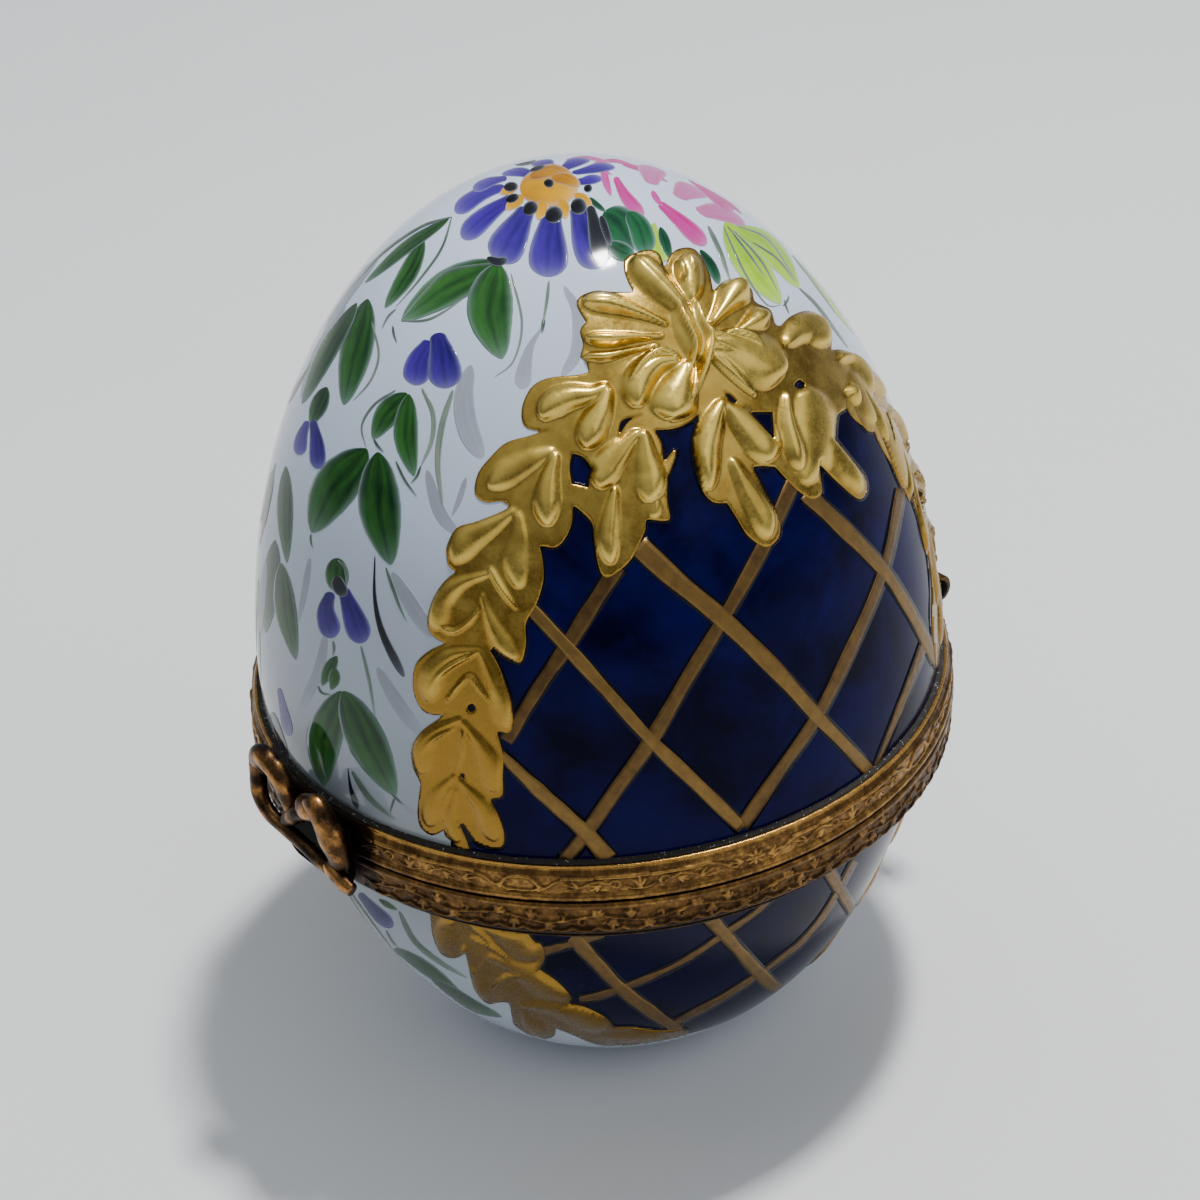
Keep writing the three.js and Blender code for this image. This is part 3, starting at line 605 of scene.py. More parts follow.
# Painted flowers. Each stroke is its path in pixels, its greatest width in pixels, its brush and its
# tone. Strokes seen squarely on the front field are repeated on the back one where that is out of the
# photograph's view.

GREEN_LEAVES = [
    ([(497, 262), (447, 288), (402, 320)], 36, "leaf", 0.45),
    ([(498, 263), (490, 310), (502, 359)], 47, "leaf", 0.50),
    ([(424, 239), (409, 272), (385, 308)], 19, "leaf", 0.62),
    ([(449, 219), (408, 246), (365, 283)], 13, "leaf", 0.75),
    ([(368, 299), (356, 352), (344, 405)], 33, "leaf", 0.62),
    ([(357, 303), (327, 352), (302, 404)], 20, "leaf", 0.80),
    ([(407, 393), (388, 413), (373, 439)], 25, "leaf", 0.55),
    ([(409, 394), (406, 436), (414, 476)], 25, "leaf", 0.45),
    ([(367, 449), (335, 487), (312, 533)], 46, "leaf", 0.62),
    ([(378, 452), (380, 508), (391, 565)], 43, "leaf", 0.66),
    ([(327, 387), (319, 405), (311, 425)], 18, "leaf", 0.85),
    ([(337, 558), (337, 572), (338, 592)], 24, "oval", 0.60),
    ([(337, 656), (330, 668), (322, 686)], 13, "leaf", 0.62),
    ([(335, 668), (334, 682), (331, 690)], 12, "leaf", 0.50),
    ([(341, 691), (325, 738), (324, 786)], 36, "leaf", 0.55),
    ([(343, 691), (368, 743), (396, 796)], 39, "leaf", 0.60),
    ([(275, 540), (270, 588), (266, 633)], 19, "leaf", 0.80),
    ([(286, 466), (285, 512), (287, 563)], 17, "leaf", 0.72),
    ([(281, 563), (286, 612), (296, 660)], 22, "leaf", 0.66),
    ([(273, 470), (266, 500), (263, 530)], 10, "leaf", 0.88),
]

FAR_LEAVES = [  # near the egg's outline, greyer
    ([(381, 254), (345, 298), (318, 348)], 10, "leaf", 0.9),
    ([(346, 306), (318, 352), (300, 398)], 10, "leaf", 0.9),
    ([(266, 560), (262, 600), (261, 634)], 8, "leaf", 0.9),
]

SPRING_LEAVES = [  # yellow-green
    ([(725, 222), (747, 258), (781, 304)], 33, "leaf", 0.40),
    ([(735, 227), (768, 246), (799, 288)], 24, "leaf", 0.46),
    ([(648, 226), (655, 241), (664, 262)], 16, "band", 0.35),
    ([(802, 265), (829, 296), (854, 333)], 11, "leaf", 0.30),
]

DARK_LEAVES = [  # deep blue-green at the top, behind the gilt flower
    ([(604, 212), (621, 226), (634, 250)], 37, "oval", 0.70),
    ([(628, 212), (640, 229), (647, 254)], 24, "lobe", 0.55),
    ([(608, 244), (620, 251), (634, 256)], 19, "oval", 0.65),
    ([(589, 198), (597, 205), (606, 212)], 6, "line", 0.95),
    ([(660, 227), (665, 242), (671, 260)], 11, "leaf", 0.80),
    ([(700, 250), (711, 265), (719, 284)], 10, "lobe", 0.85),
]

VIOLET_PETALS = [  # path, width, brush, tone, darker side
    ([(577, 205), (587, 236), (600, 268)], 37, "petal", 0.62, 0.20),
    ([(552, 211), (549, 243), (548, 277)], 40, "petal", 0.50, 0.06),
    ([(528, 208), (514, 233), (498, 262)], 37, "petal", 0.48, -0.05),
    ([(514, 197), (489, 214), (462, 238)], 22, "petal", 0.36, -0.10),
    ([(505, 187), (480, 195), (455, 212)], 17, "petal", 0.34, -0.10),
    ([(507, 178), (490, 182), (473, 190)], 11, "petal", 0.30, 0.0),
    ([(430, 341), (419, 361), (415, 385)], 27, "petal", 0.34, 0.05),
    ([(437, 333), (443, 358), (447, 388)], 34, "petal", 0.62, 0.05),
    ([(308, 421), (302, 436), (299, 455)], 14, "petal", 0.36, 0.0),
    ([(313, 420), (317, 444), (318, 469)], 17, "petal", 0.62, 0.0),
    ([(331, 592), (326, 612), (333, 638)], 22, "petal", 0.60, -0.12),
    ([(343, 588), (352, 612), (363, 643)], 25, "petal", 0.56, 0.06),
    ([(279, 688), (284, 712), (290, 736)], 10, "petal", 0.45, 0.0),
]

VIOLET_ABOVE = [  # the daisy's petals over the top, seen from above in millimetres
    ([(0.75, -0.55), (1.45, 0.55), (1.35, 1.7)], 1.15, "petal", 0.42, 0.0),
    ([(0.1, 0.6), (0.35, 2.0), (0.2, 3.7)], 1.5, "petal", 0.50, 0.0),
    ([(-0.8, 0.4), (-1.2, 1.7), (-1.9, 3.1)], 1.5, "petal", 0.55, 0.0),
    ([(-1.5, -0.2), (-2.6, 0.5), (-3.9, 1.1)], 1.45, "petal", 0.48, 0.0),
    ([(-1.6, -1.2), (-3.0, -1.1), (-4.6, -1.1)], 1.4, "petal", 0.44, 0.0),
]

DAISY_HEART = [  # path, width, brush, tone: the middle, its jagged points and its brown top
    ([(520, 189), (549, 187), (578, 189)], 40, "oval", 0.30),
    ([(524, 196), (514, 203), (506, 210)], 13, "leaf", 0.2),
    ([(544, 200), (541, 211), (538, 220)], 14, "leaf", 0.15),
    ([(562, 199), (564, 210), (566, 219)], 13, "leaf", 0.2),
    ([(575, 194), (583, 200), (592, 205)], 12, "leaf", 0.25),
    ([(518, 187), (509, 190), (500, 194)], 10, "leaf", 0.3),
]
DAISY_BROWN = [([(530, 177), (552, 171), (574, 178)], 14, "oval", 0.65),
               ([(552, 178), (566, 179), (580, 186)], 13, "oval", 0.6)]
DAISY_SEEDS = [  # black touches where petals meet the heart
    ([(504, 188), (518, 186)], 10), ([(506, 201), (519, 196)], 9), ([(524, 213), (537, 204)], 14),
    ([(546, 219), (562, 211)], 17), ([(571, 209), (586, 204)], 17), ([(544, 183), (554, 184)], 9),
    ([(514, 164), (536, 161)], 6), ([(530, 171), (545, 166)], 5), ([(584, 190), (592, 187)], 8),
]

SHADES = [  # near-black glaze over other colours
    ([(590, 206), (597, 236), (602, 264)], 19, "petal", 0.8),
    ([(337, 576), (339, 586), (346, 596)], 14, "oval", 0.7),
    ([(375, 556), (375, 598), (383, 634), (404, 677)], 9, "swell", 0.9),
    ([(487, 258), (498, 262), (508, 259)], 9, "oval", 0.7),
    ([(601, 216), (606, 232), (611, 246)], 8, "line", 0.8),
    ([(272, 712), (281, 738), (290, 762)], 7, "line", 0.8),
    ([(348, 768), (351, 788), (358, 809)], 6, "swell", 0.8),
]

STEMS = [  # thin lines: path, width, tone
    ([(452, 217), (442, 248), (421, 278), (396, 307)], 2.6, 0.7),
    ([(452, 217), (421, 227), (383, 253), (352, 287)], 3.2, 0.8),
    ([(396, 309), (388, 317), (382, 329)], 2.2, 0.6),
    ([(393, 326), (394, 334), (397, 343)], 2.6, 0.8),
    ([(511, 273), (522, 322), (514, 360), (495, 377)], 2.6, 0.4),
    ([(372, 322), (379, 354), (371, 380), (353, 401)], 2.4, 0.4),
    ([(396, 390), (374, 405), (362, 426), (367, 449)], 2.6, 0.55),
    ([(396, 461), (405, 480), (417, 496)], 2.8, 0.8),
    ([(421, 466), (417, 476), (411, 483)], 2.6, 0.7),
    ([(422, 388), (433, 413), (432, 440), (421, 466)], 5, 0.25),
    ([(453, 390), (442, 426), (438, 464), (443, 506)], 6.5, 0.25),
    ([(549, 281), (547, 300), (543, 324)], 3.5, 0.45),
    ([(544, 318), (543, 326), (542, 333)], 4, 0.8),
    ([(311, 534), (311, 541), (313, 548)], 2.4, 0.8),
    ([(386, 567), (398, 602), (407, 622)], 4, 0.6),
    ([(361, 646), (369, 680), (375, 716)], 3.4, 0.4),
    ([(333, 641), (334, 648), (333, 656)], 3, 0.5),
    ([(318, 686), (322, 693), (331, 695)], 2.4, 0.8),
    ([(352, 771), (371, 799), (396, 820)], 6, 0.6),
    ([(391, 793), (397, 799), (404, 805)], 2.2, 0.7),
    ([(395, 797), (392, 806), (390, 814)], 2.4, 0.7),
    ([(374, 439), (378, 446), (384, 452)], 3, 0.8),
    ([(708, 226), (720, 252), (730, 280)], 5, 0.6),
    ([(783, 306), (787, 301), (789, 295)], 2.2, 0.7),
    ([(784, 300), (786, 307), (789, 314)], 2.2, 0.7),
    ([(799, 288), (818, 307), (848, 348)], 3.6, 0.45),
    ([(792, 255), (812, 280), (836, 314)], 2.6, 0.4),
    ([(727, 226), (750, 256), (766, 279)], 2.2, 0.75),
    ([(733, 230), (760, 260), (778, 292)], 2.2, 0.7),
    ([(752, 242), (776, 258), (795, 281)], 2.2, 0.7),
    ([(737, 226), (768, 240), (797, 282)], 2.0, 0.5),
    ([(723, 226), (744, 272), (766, 304), (781, 305)], 2.2, 0.6),
    ([(496, 263), (450, 271), (425, 292), (401, 320)], 2.6, 0.8),
    ([(401, 321), (430, 319), (462, 300)], 2.4, 0.6),
    ([(338, 560), (345, 568), (347, 584)], 2.4, 0.7),
]

GREY_WASHES = [  # thin grey shadows behind the sprays
    ([(543, 326), (529, 350), (521, 389)], 17, "swell"),
    ([(471, 365), (464, 396), (468, 428), (482, 458)], 22, "lobe"),
    ([(564, 286), (577, 312), (577, 350), (562, 376)], 13, "lobe"),
    ([(427, 470), (440, 512), (458, 534)], 13, "lobe"),
    ([(392, 572), (413, 607), (433, 637)], 16, "lobe"),
    ([(377, 668), (398, 704), (420, 734)], 14, "lobe"),
    ([(310, 558), (304, 594), (298, 624)], 7, "line"),
    ([(326, 632), (318, 672), (299, 712)], 12, "lobe"),
    ([(399, 800), (418, 819), (438, 832)], 13, "swell"),
    ([(466, 478), (459, 500), (452, 516)], 6, "line"),
]

PINK_PETALS = [
    ([(615, 177), (626, 197), (643, 217)], 14, "petal", 0.60),
    ([(659, 203), (680, 221), (706, 245)], 17, "petal", 0.66),
    ([(688, 177), (709, 192), (733, 212)], 11, "petal", 0.55),
    ([(566, 160), (588, 158), (612, 163)], 4, "line", 0.35),
    ([(594, 163), (616, 161), (640, 169)], 4, "line", 0.5),
    ([(622, 164), (646, 171), (668, 182)], 5, "line", 0.4),
    ([(586, 168), (600, 169), (612, 175)], 4, "line", 0.3),
    ([(712, 194), (728, 203), (742, 214)], 4, "line", 0.6),
    ([(603, 166), (606, 182), (611, 196)], 8, "line", 0.18),
    ([(652, 191), (656, 198), (662, 206)], 6, "line", 0.20),
]

PINK_ABOVE = [  # the rest of the pink flower, on the far side of the top
    ([(5.0, 5.0), (4.2, 6.4), (3.4, 8.0)], 1.9, "petal", 0.5),
    ([(6.4, 5.4), (6.2, 7.4), (6.0, 9.2)], 2.0, "petal", 0.6),
    ([(3.4, 4.2), (2.0, 5.4), (0.6, 6.8)], 1.8, "petal", 0.45),
]

BOWL_LEAVES = [
    ([(394, 948), (427, 971), (462, 995)], 17, "leaf", 0.72),
    ([(432, 979), (468, 1003), (502, 1017)], 14, "leaf", 0.75),
    ([(379, 899), (388, 905), (398, 910)], 6, "leaf", 0.6),
]
BOWL_VIOLET = [([(359, 893), (377, 913), (393, 927)], 14, "petal", 1.0, 0.0)]
BOWL_STEMS = [
    ([(399, 911), (414, 940), (437, 960), (467, 978)], 6, 0.6),
    ([(386, 930), (392, 941), (399, 948)], 2.6, 0.6),
]

# Strokes on the parts of a field that the photograph doesn't reach: (azimuth in degrees, z)
HIDDEN_LID_LEAVES = [
    ([(-118, 38), (-120, 34.5), (-123, 31)], 2.3, "leaf", 0.6),
    ([(-118, 38), (-115.5, 34), (-116, 30.5)], 2.3, "leaf", 0.55),
    ([(-121, 46), (-123, 43), (-127, 40.5)], 2.0, "leaf", 0.6),
    ([(-121, 46), (-119.5, 43), (-121, 40)], 2.0, "leaf", 0.5),
    ([(-124, 52.5), (-128, 50), (-133, 48.5)], 1.7, "leaf", 0.6),
]
HIDDEN_BOWL_LEAVES = [
    ([(-97, 18.5), (-100, 14.5), (-104, 10.5)], 2.2, "leaf", 0.6),
    ([(-97, 18.5), (-93, 14.5), (-92, 10.5)], 2.2, "leaf", 0.5),
    ([(-113, 19.5), (-117, 16), (-119, 12)], 2.0, "leaf", 0.6),
    ([(-113, 19.5), (-110, 15.5), (-110, 12)], 2.0, "leaf", 0.5),
    ([(-99, 9), (-103, 6.5), (-110, 4.6)], 1.4, "leaf", 0.6),
]


# Gilding

LATTICE = [  # falling bands, brighter, then rising bands: path, width at its two ends
    ([(806, 493), (846, 531), (884, 571), (907, 606), (924, 638), (936, 664)], 17, 7, "dome", 0.75),
    ([(638, 545), (676, 580), (723, 619), (772, 666), (817, 716), (846, 746), (872, 774)], 21, 11, "dome",
     0.75),
    ([(528, 605), (567, 647), (606, 690), (651, 740), (697, 784), (742, 828)], 12, 13, "dome", 0.8),
    ([(501, 754), (541, 792), (585, 832), (609, 860)], 10, 17, "dome", 0.8),
    ([(618, 566), (592, 606), (567, 646), (537, 690), (506, 741)], 16, 12, "dome", 0.2),
    ([(795, 478), (763, 547), (723, 619), (687, 678), (651, 740), (617, 788), (584, 836), (563, 862)], 13, 14,
     "dome", 0.3),
    ([(901, 489), (884, 568), (852, 646), (817, 716), (780, 770), (742, 826)], 9, 13, "dome", 0.3),
    ([(927, 636), (905, 694), (876, 766)], 8, 4, "dome", 0.3),
    ([(572, 936), (597, 963), (622, 989), (648, 1009), (680, 1031)], 13, 11, "bowl", 0.6),
    ([(706, 914), (733, 944), (760, 974), (778, 989), (790, 998)], 13, 12, "bowl", 0.6),
    ([(824, 864), (839, 889), (851, 909), (858, 922)], 11, 9, "bowl", 0.5),
    ([(544, 951), (574, 943), (604, 934)], 7, 7, "bowl", 0.3),
    ([(579, 999), (601, 995), (640, 981), (683, 961), (727, 932), (756, 912), (772, 896)], 6, 5, "bowl", 0.3),
    ([(675, 1022), (716, 1001), (756, 976), (785, 955), (802, 941), (820, 920), (834, 898), (854, 860)], 6,
     4.5,
     "bowl", 0.3),
]

# Edges of the gilding, in runs that end in a sharp notch
LID_GOLD_EDGE = [
    [(578, 375), (549, 378), (532, 387), (523, 404), (522, 419), (527, 428), (541, 431), (547, 430)],
    [(529, 436), (506, 443), (489, 459), (478, 474), (475, 493), (485, 502), (502, 501)],
    [(508, 508), (478, 521), (457, 528), (447, 546), (447, 558), (449, 566), (456, 572)],
    [(444, 582), (434, 597), (428, 615), (429, 630), (437, 639), (446, 643)],
    [(429, 651), (416, 664), (413, 684), (416, 699), (424, 711), (437, 715), (447, 712)],
    [(437, 720), (421, 732), (412, 748), (413, 766), (419, 779), (421, 784)],
    [(419, 799), (418, 814), (421, 827), (432, 835), (444, 830)],
    [(446, 836), (455, 845), (458, 858)],
    [(469, 862), (470, 850)],
    [(466, 838), (458, 820)],
    [(466, 828), (476, 842), (492, 848), (503, 846), (504, 832), (498, 814), (490, 799)],
    [(502, 796), (503, 778), (503, 755), (497, 731)],
    [(508, 733), (513, 725), (512, 704), (506, 684), (498, 664), (485, 642)],
    [(496, 651), (508, 659), (521, 662), (526, 643), (526, 623), (536, 605), (543, 582), (543, 562),
     (540, 546)],
    [(556, 547), (566, 537), (572, 522), (573, 505)],
    [(582, 512), (592, 523), (594, 537), (596, 554), (601, 573), (609, 577), (624, 567), (633, 557)],
    [(644, 533), (646, 519)],
    [(664, 521), (670, 517), (667, 497), (668, 477)],
    [(676, 456), (674, 450), (664, 462)],
    [(661, 442), (654, 430)],
    [(671, 429), (687, 424), (700, 413)],
    [(692, 441), (695, 468), (702, 490), (713, 502), (727, 503)],
    [(737, 519), (748, 536), (765, 547), (776, 541), (780, 530), (777, 512), (768, 497), (752, 467)],
    [(762, 466), (775, 467)],
    [(786, 479), (798, 491), (812, 499), (821, 494), (821, 482), (819, 464)],
    [(839, 484), (858, 499), (866, 492), (864, 476), (850, 458), (835, 439)],
    [(836, 424), (838, 414), (846, 408), (845, 393)],
    [(855, 415), (866, 430), (872, 432)],
    [(878, 433), (885, 449), (896, 476), (901, 487)],
    [(911, 497), (926, 547), (931, 587), (931, 619), (935, 667)],
    [(960, 667), (962, 620), (955, 560), (938, 510)],
    [(912, 495), (909, 460), (898, 428), (887, 409), (875, 404)],
    [(874, 385), (869, 369), (858, 356), (842, 350), (831, 350)],
    [(831, 334), (823, 318), (807, 311), (791, 316), (780, 326)],
    [(775, 324), (770, 310), (755, 302), (751, 289), (737, 279), (724, 281), (713, 291)],
    [(708, 270), (695, 250), (679, 249), (669, 257), (665, 270)],
    [(659, 254), (648, 250), (636, 253), (625, 259), (624, 270), (628, 282), (634, 293)],
    [(612, 292), (595, 291), (580, 297), (577, 306), (586, 322)],
    [(580, 331), (583, 344), (580, 357)],
    [(586, 362), (589, 372)],
]
LID_GOLD_HOLES = [
    [[(583, 457), (589, 465), (592, 471)], [(589, 477), (589, 488)], [(579, 485), (572, 484)],
     [(570, 468), (572, 453)]],
    [[(772, 412)], [(774, 440)], [(764, 428), (750, 412)]],
    [[(730, 395), (738, 403)], [(731, 402), (724, 391)]],
    [[(800, 380), (805, 385), (800, 389), (794, 385), (798, 380)]],
    [[(622, 421), (641, 415)], [(628, 422), (618, 437)]],
    [[(472, 703), (476, 708), (471, 712), (467, 707), (472, 703)]],
    [[(463, 773), (466, 778), (462, 777), (460, 773), (463, 773)]],
]
LID_COBALT_EDGE = [
    [(456, 872), (451, 830), (454, 800), (456, 745), (463, 695), (476, 640), (486, 610), (506, 570),
     (530, 515), (550, 470), (580, 424), (624, 384), (690, 345), (740, 345), (800, 345), (845, 365),
     (880, 404), (900, 450), (918, 510), (934, 570), (945, 640), (946, 700), (900, 800), (700, 900),
     (456, 872)],
]
BOWL_GOLD_EDGE = [
    [(429, 905), (431, 920), (433, 936), (441, 953), (454, 958), (466, 953)],
    [(470, 972), (475, 990), (487, 1003), (499, 1002)],
    [(509, 1003), (512, 1016)],
    [(516, 1026), (538, 1038), (553, 1036), (556, 1028)],
    [(574, 1035), (597, 1044), (635, 1049), (661, 1044), (694, 1036)],
    [(684, 1029), (658, 1030), (635, 1027), (614, 1027)],
    [(604, 1016), (581, 1005), (564, 1003)],
    [(571, 1001), (569, 993), (556, 980), (540, 969)],
    [(545, 957), (541, 944), (530, 936), (520, 905)],
    [(475, 900), (429, 905)],
]
BOWL_COBALT_EDGE = [
    [(463, 895), (463, 921), (484, 956), (508, 992), (548, 1018), (600, 1036), (650, 1044), (760, 1050),
     (900, 960), (940, 800), (463, 895)],
]

# Lobes of the gilding: path, width, rise in millimetres, brush, dish, extras
LEFT_GARLAND = [
    ([(609, 385), (592, 394), (570, 397), (552, 405), (541, 419)], 33, 0.70, "swell_lobe", 0.10,
     {"lean": 0.15}),
    ([(609, 387), (602, 408), (592, 428), (585, 449)], 36, 0.74, "swell_lobe", 0.05, {}),
    ([(556, 450), (534, 459), (510, 472), (489, 487)], 31, 0.36, "swell_lobe", 0.14, {"lean": 0.2}),
    ([(557, 452), (550, 477), (547, 500), (548, 526)], 32, 0.62, "swell_lobe", 0.08, {}),
    ([(516, 509), (492, 525), (468, 541), (455, 562)], 33, 0.36, "swell_lobe", 0.14, {}),
    ([(518, 511), (519, 534), (516, 558), (520, 588)], 29, 0.36, "swell_lobe", 0.12, {}),
    ([(490, 566), (500, 585), (518, 610)], 8, 0.30, "line", 0.0, {}),
    ([(490, 573), (460, 584), (440, 604), (438, 630)], 30, 0.36, "club", 0.08, {"lean": 0.2}),
    ([(482, 592), (490, 618), (502, 642), (516, 660)], 25, 0.32, "club", 0.0, {}),
    ([(436, 622), (453, 631), (470, 621), (480, 606)], 6, 0.26, "line", 0.0, {}),
    ([(481, 650), (452, 655), (434, 674), (430, 702)], 30, 0.34, "club", 0.0, {"lean": 0.25}),
    ([(479, 648), (493, 678), (503, 702), (508, 728)], 33, 0.28, "club", 0.0, {}),
    ([(431, 692), (442, 673), (460, 660), (478, 653)], 7, 0.42, "line", 0.0, {}),
    ([(446, 702), (458, 687), (470, 676), (480, 688), (494, 706)], 5, 0.30, "line", 0.0, {}),
    ([(462, 718), (436, 731), (422, 750), (424, 774)], 31, 0.28, "club", 0.0, {}),
    ([(462, 720), (480, 744), (492, 768), (496, 792)], 31, 0.26, "club", 0.0, {}),
    ([(423, 752), (436, 737), (456, 727)], 6, 0.36, "line", 0.0, {}),
    ([(463, 728), (463, 750), (458, 772)], 5, 0.26, "line", 0.0, {}),
    ([(456, 774), (438, 796), (430, 826)], 29, 0.24, "club", 0.0, {}),
    ([(457, 788), (453, 816), (458, 842)], 21, 0.20, "club", 0.0, {}),
    ([(458, 778), (482, 806), (497, 840)], 29, 0.26, "club", 0.0, {}),
    ([(452, 786), (445, 806), (446, 826)], 5, 0.26, "line", 0.0, {}),
    ([(464, 790), (480, 808), (491, 828)], 5, 0.24, "line", 0.0, {}),
]
INNER_LOBES = [
    ([(641, 430), (622, 448), (606, 468), (599, 488)], 36, 0.58, "swell_lobe", 0.20, {}),
    ([(643, 430), (646, 455), (650, 478), (648, 502)], 36, 0.62, "swell_lobe", 0.12, {}),
    ([(615, 486), (611, 512), (608, 540), (611, 564)], 26, 0.55, "swell_lobe", 0.05, {}),
    ([(654, 495), (655, 506), (653, 518)], 16, 0.22, "leaf_lobe", 0.0, {}),
    ([(722, 399), (712, 422), (703, 455), (708, 490)], 36, 0.70, "swell_lobe", 0.05, {}),
    ([(722, 402), (741, 420), (760, 440), (768, 462)], 44, 0.62, "swell_lobe", 0.15, {}),
    ([(730, 458), (744, 484), (760, 512), (768, 538)], 30, 0.52, "swell_lobe", 0.25, {}),
    ([(785, 392), (786, 420), (792, 446), (798, 470)], 22, 0.58, "swell_lobe", 0.0, {}),
    ([(804, 388), (813, 416), (813, 448), (804, 484)], 50, 0.50, "leaf_lobe", 0.15, {}),
    ([(826, 438), (842, 460), (860, 492)], 26, 0.44, "leaf_lobe", 0.25, {}),
]
RIGHT_GARLAND = [
    ([(784, 346), (798, 332), (814, 328), (826, 346)], 42, 0.58, "swell_lobe", 0.15, {}),
    ([(836, 358), (853, 356), (866, 372), (872, 394)], 24, 0.50, "leaf_lobe", 0.1, {}),
    ([(850, 372), (863, 396), (874, 424)], 22, 0.24, "leaf_lobe", 0.1, {}),
    ([(872, 402), (889, 430), (899, 462), (907, 492)], 21, 0.24, "leaf_lobe", 0.1, {}),
    ([(886, 404), (900, 434), (910, 464), (913, 488)], 14, 0.24, "leaf_lobe", 0.1, {}),
]
FLOWER_PETALS = [
    ([(668, 326), (640, 314), (610, 304), (582, 302)], 23, 0.80, "club", 0.0, {"groove": 0.2}),
    ([(664, 337), (636, 338), (610, 340), (584, 339)], 17, 0.78, "club", 0.0, {}),
    ([(660, 345), (628, 352), (606, 357), (582, 357)], 11, 0.60, "club", 0.0, {}),
    ([(690, 318), (664, 292), (646, 274), (632, 260)], 31, 0.90, "lobe", 0.0, {"groove": 0.16, "lean": -0.1}),
    ([(692, 302), (691, 286), (688, 268), (684, 256)], 30, 0.55, "lobe", 0.1, {}),
    ([(682, 284), (679, 273), (676, 262)], 9, 0.80, "oval", 0.0, {}),
    ([(691, 276), (688, 266), (684, 257)], 7, 0.76, "oval", 0.0, {}),
    ([(709, 326), (722, 308), (733, 293), (742, 284)], 40, 0.90, "club", 0.0, {}),
    ([(733, 334), (750, 324), (766, 314)], 28, 0.66, "club", 0.0, {}),
    ([(706, 342), (738, 352), (762, 364), (784, 372)], 58, 0.84, "lobe", 0.10, {}),
    ([(704, 334), (724, 339), (748, 349)], 10, 0.86, "taper", 0.0, {}),
    ([(708, 345), (724, 351), (742, 360)], 9, 0.84, "taper", 0.0, {}),
    ([(722, 333), (744, 339), (762, 352)], 9, 1.0, "line", 0.0, {}),
    ([(709, 354), (731, 374), (756, 398)], 12, 0.66, "line", 0.0, {"groove": 0.5}),
    ([(680, 360), (655, 364), (638, 382), (636, 408)], 38, 0.74, "swell_lobe", 0.0, {}),
    ([(686, 362), (680, 382), (673, 402), (670, 420)], 52, 0.90, "swell_lobe", 0.05, {}),
    ([(628, 384), (641, 363), (660, 352), (680, 358)], 8, 0.95, "line", 0.0, {}),
    ([(674, 304), (682, 324), (691, 344), (690, 362), (685, 380)], 9, 0.95, "line", 0.0, {}),
    ([(692, 301), (697, 322), (706, 340), (703, 362), (697, 382), (689, 404)], 12, 1.0, "line", 0.0, {}),
    ([(676, 300), (690, 330), (697, 360)], 34, 0.55, "oval", 0.0, {}),
]
LOWER_GARLAND = [
    ([(462, 906), (446, 926), (444, 952)], 29, 0.24, "club", 0.0, {}),
    ([(462, 914), (476, 926), (500, 950)], 6, 0.30, "line", 0.0, {}),
    ([(466, 914), (504, 930), (538, 956)], 42, 0.26, "club", 0.0, {}),
    ([(470, 936), (490, 944), (516, 962)], 5, 0.30, "line", 0.0, {}),
    ([(489, 954), (478, 978), (484, 1000)], 23, 0.22, "club", 0.0, {}),
    ([(486, 954), (528, 972), (568, 996)], 36, 0.28, "club", 0.0, {}),
    ([(464, 944), (466, 960), (478, 974)], 6, 0.34, "line", 0.0, {}),
    ([(522, 1008), (530, 1024), (546, 1036)], 21, 0.22, "club", 0.0, {}),
    ([(520, 1004), (562, 1008), (606, 1026)], 30, 0.26, "club", 0.0, {}),
    ([(490, 988), (504, 976), (520, 974), (552, 988)], 5, 0.32, "line", 0.0, {}),
    ([(600, 1036), (632, 1036), (662, 1036)], 16, 0.18, "club", 0.0, {}),
]


# Finishes

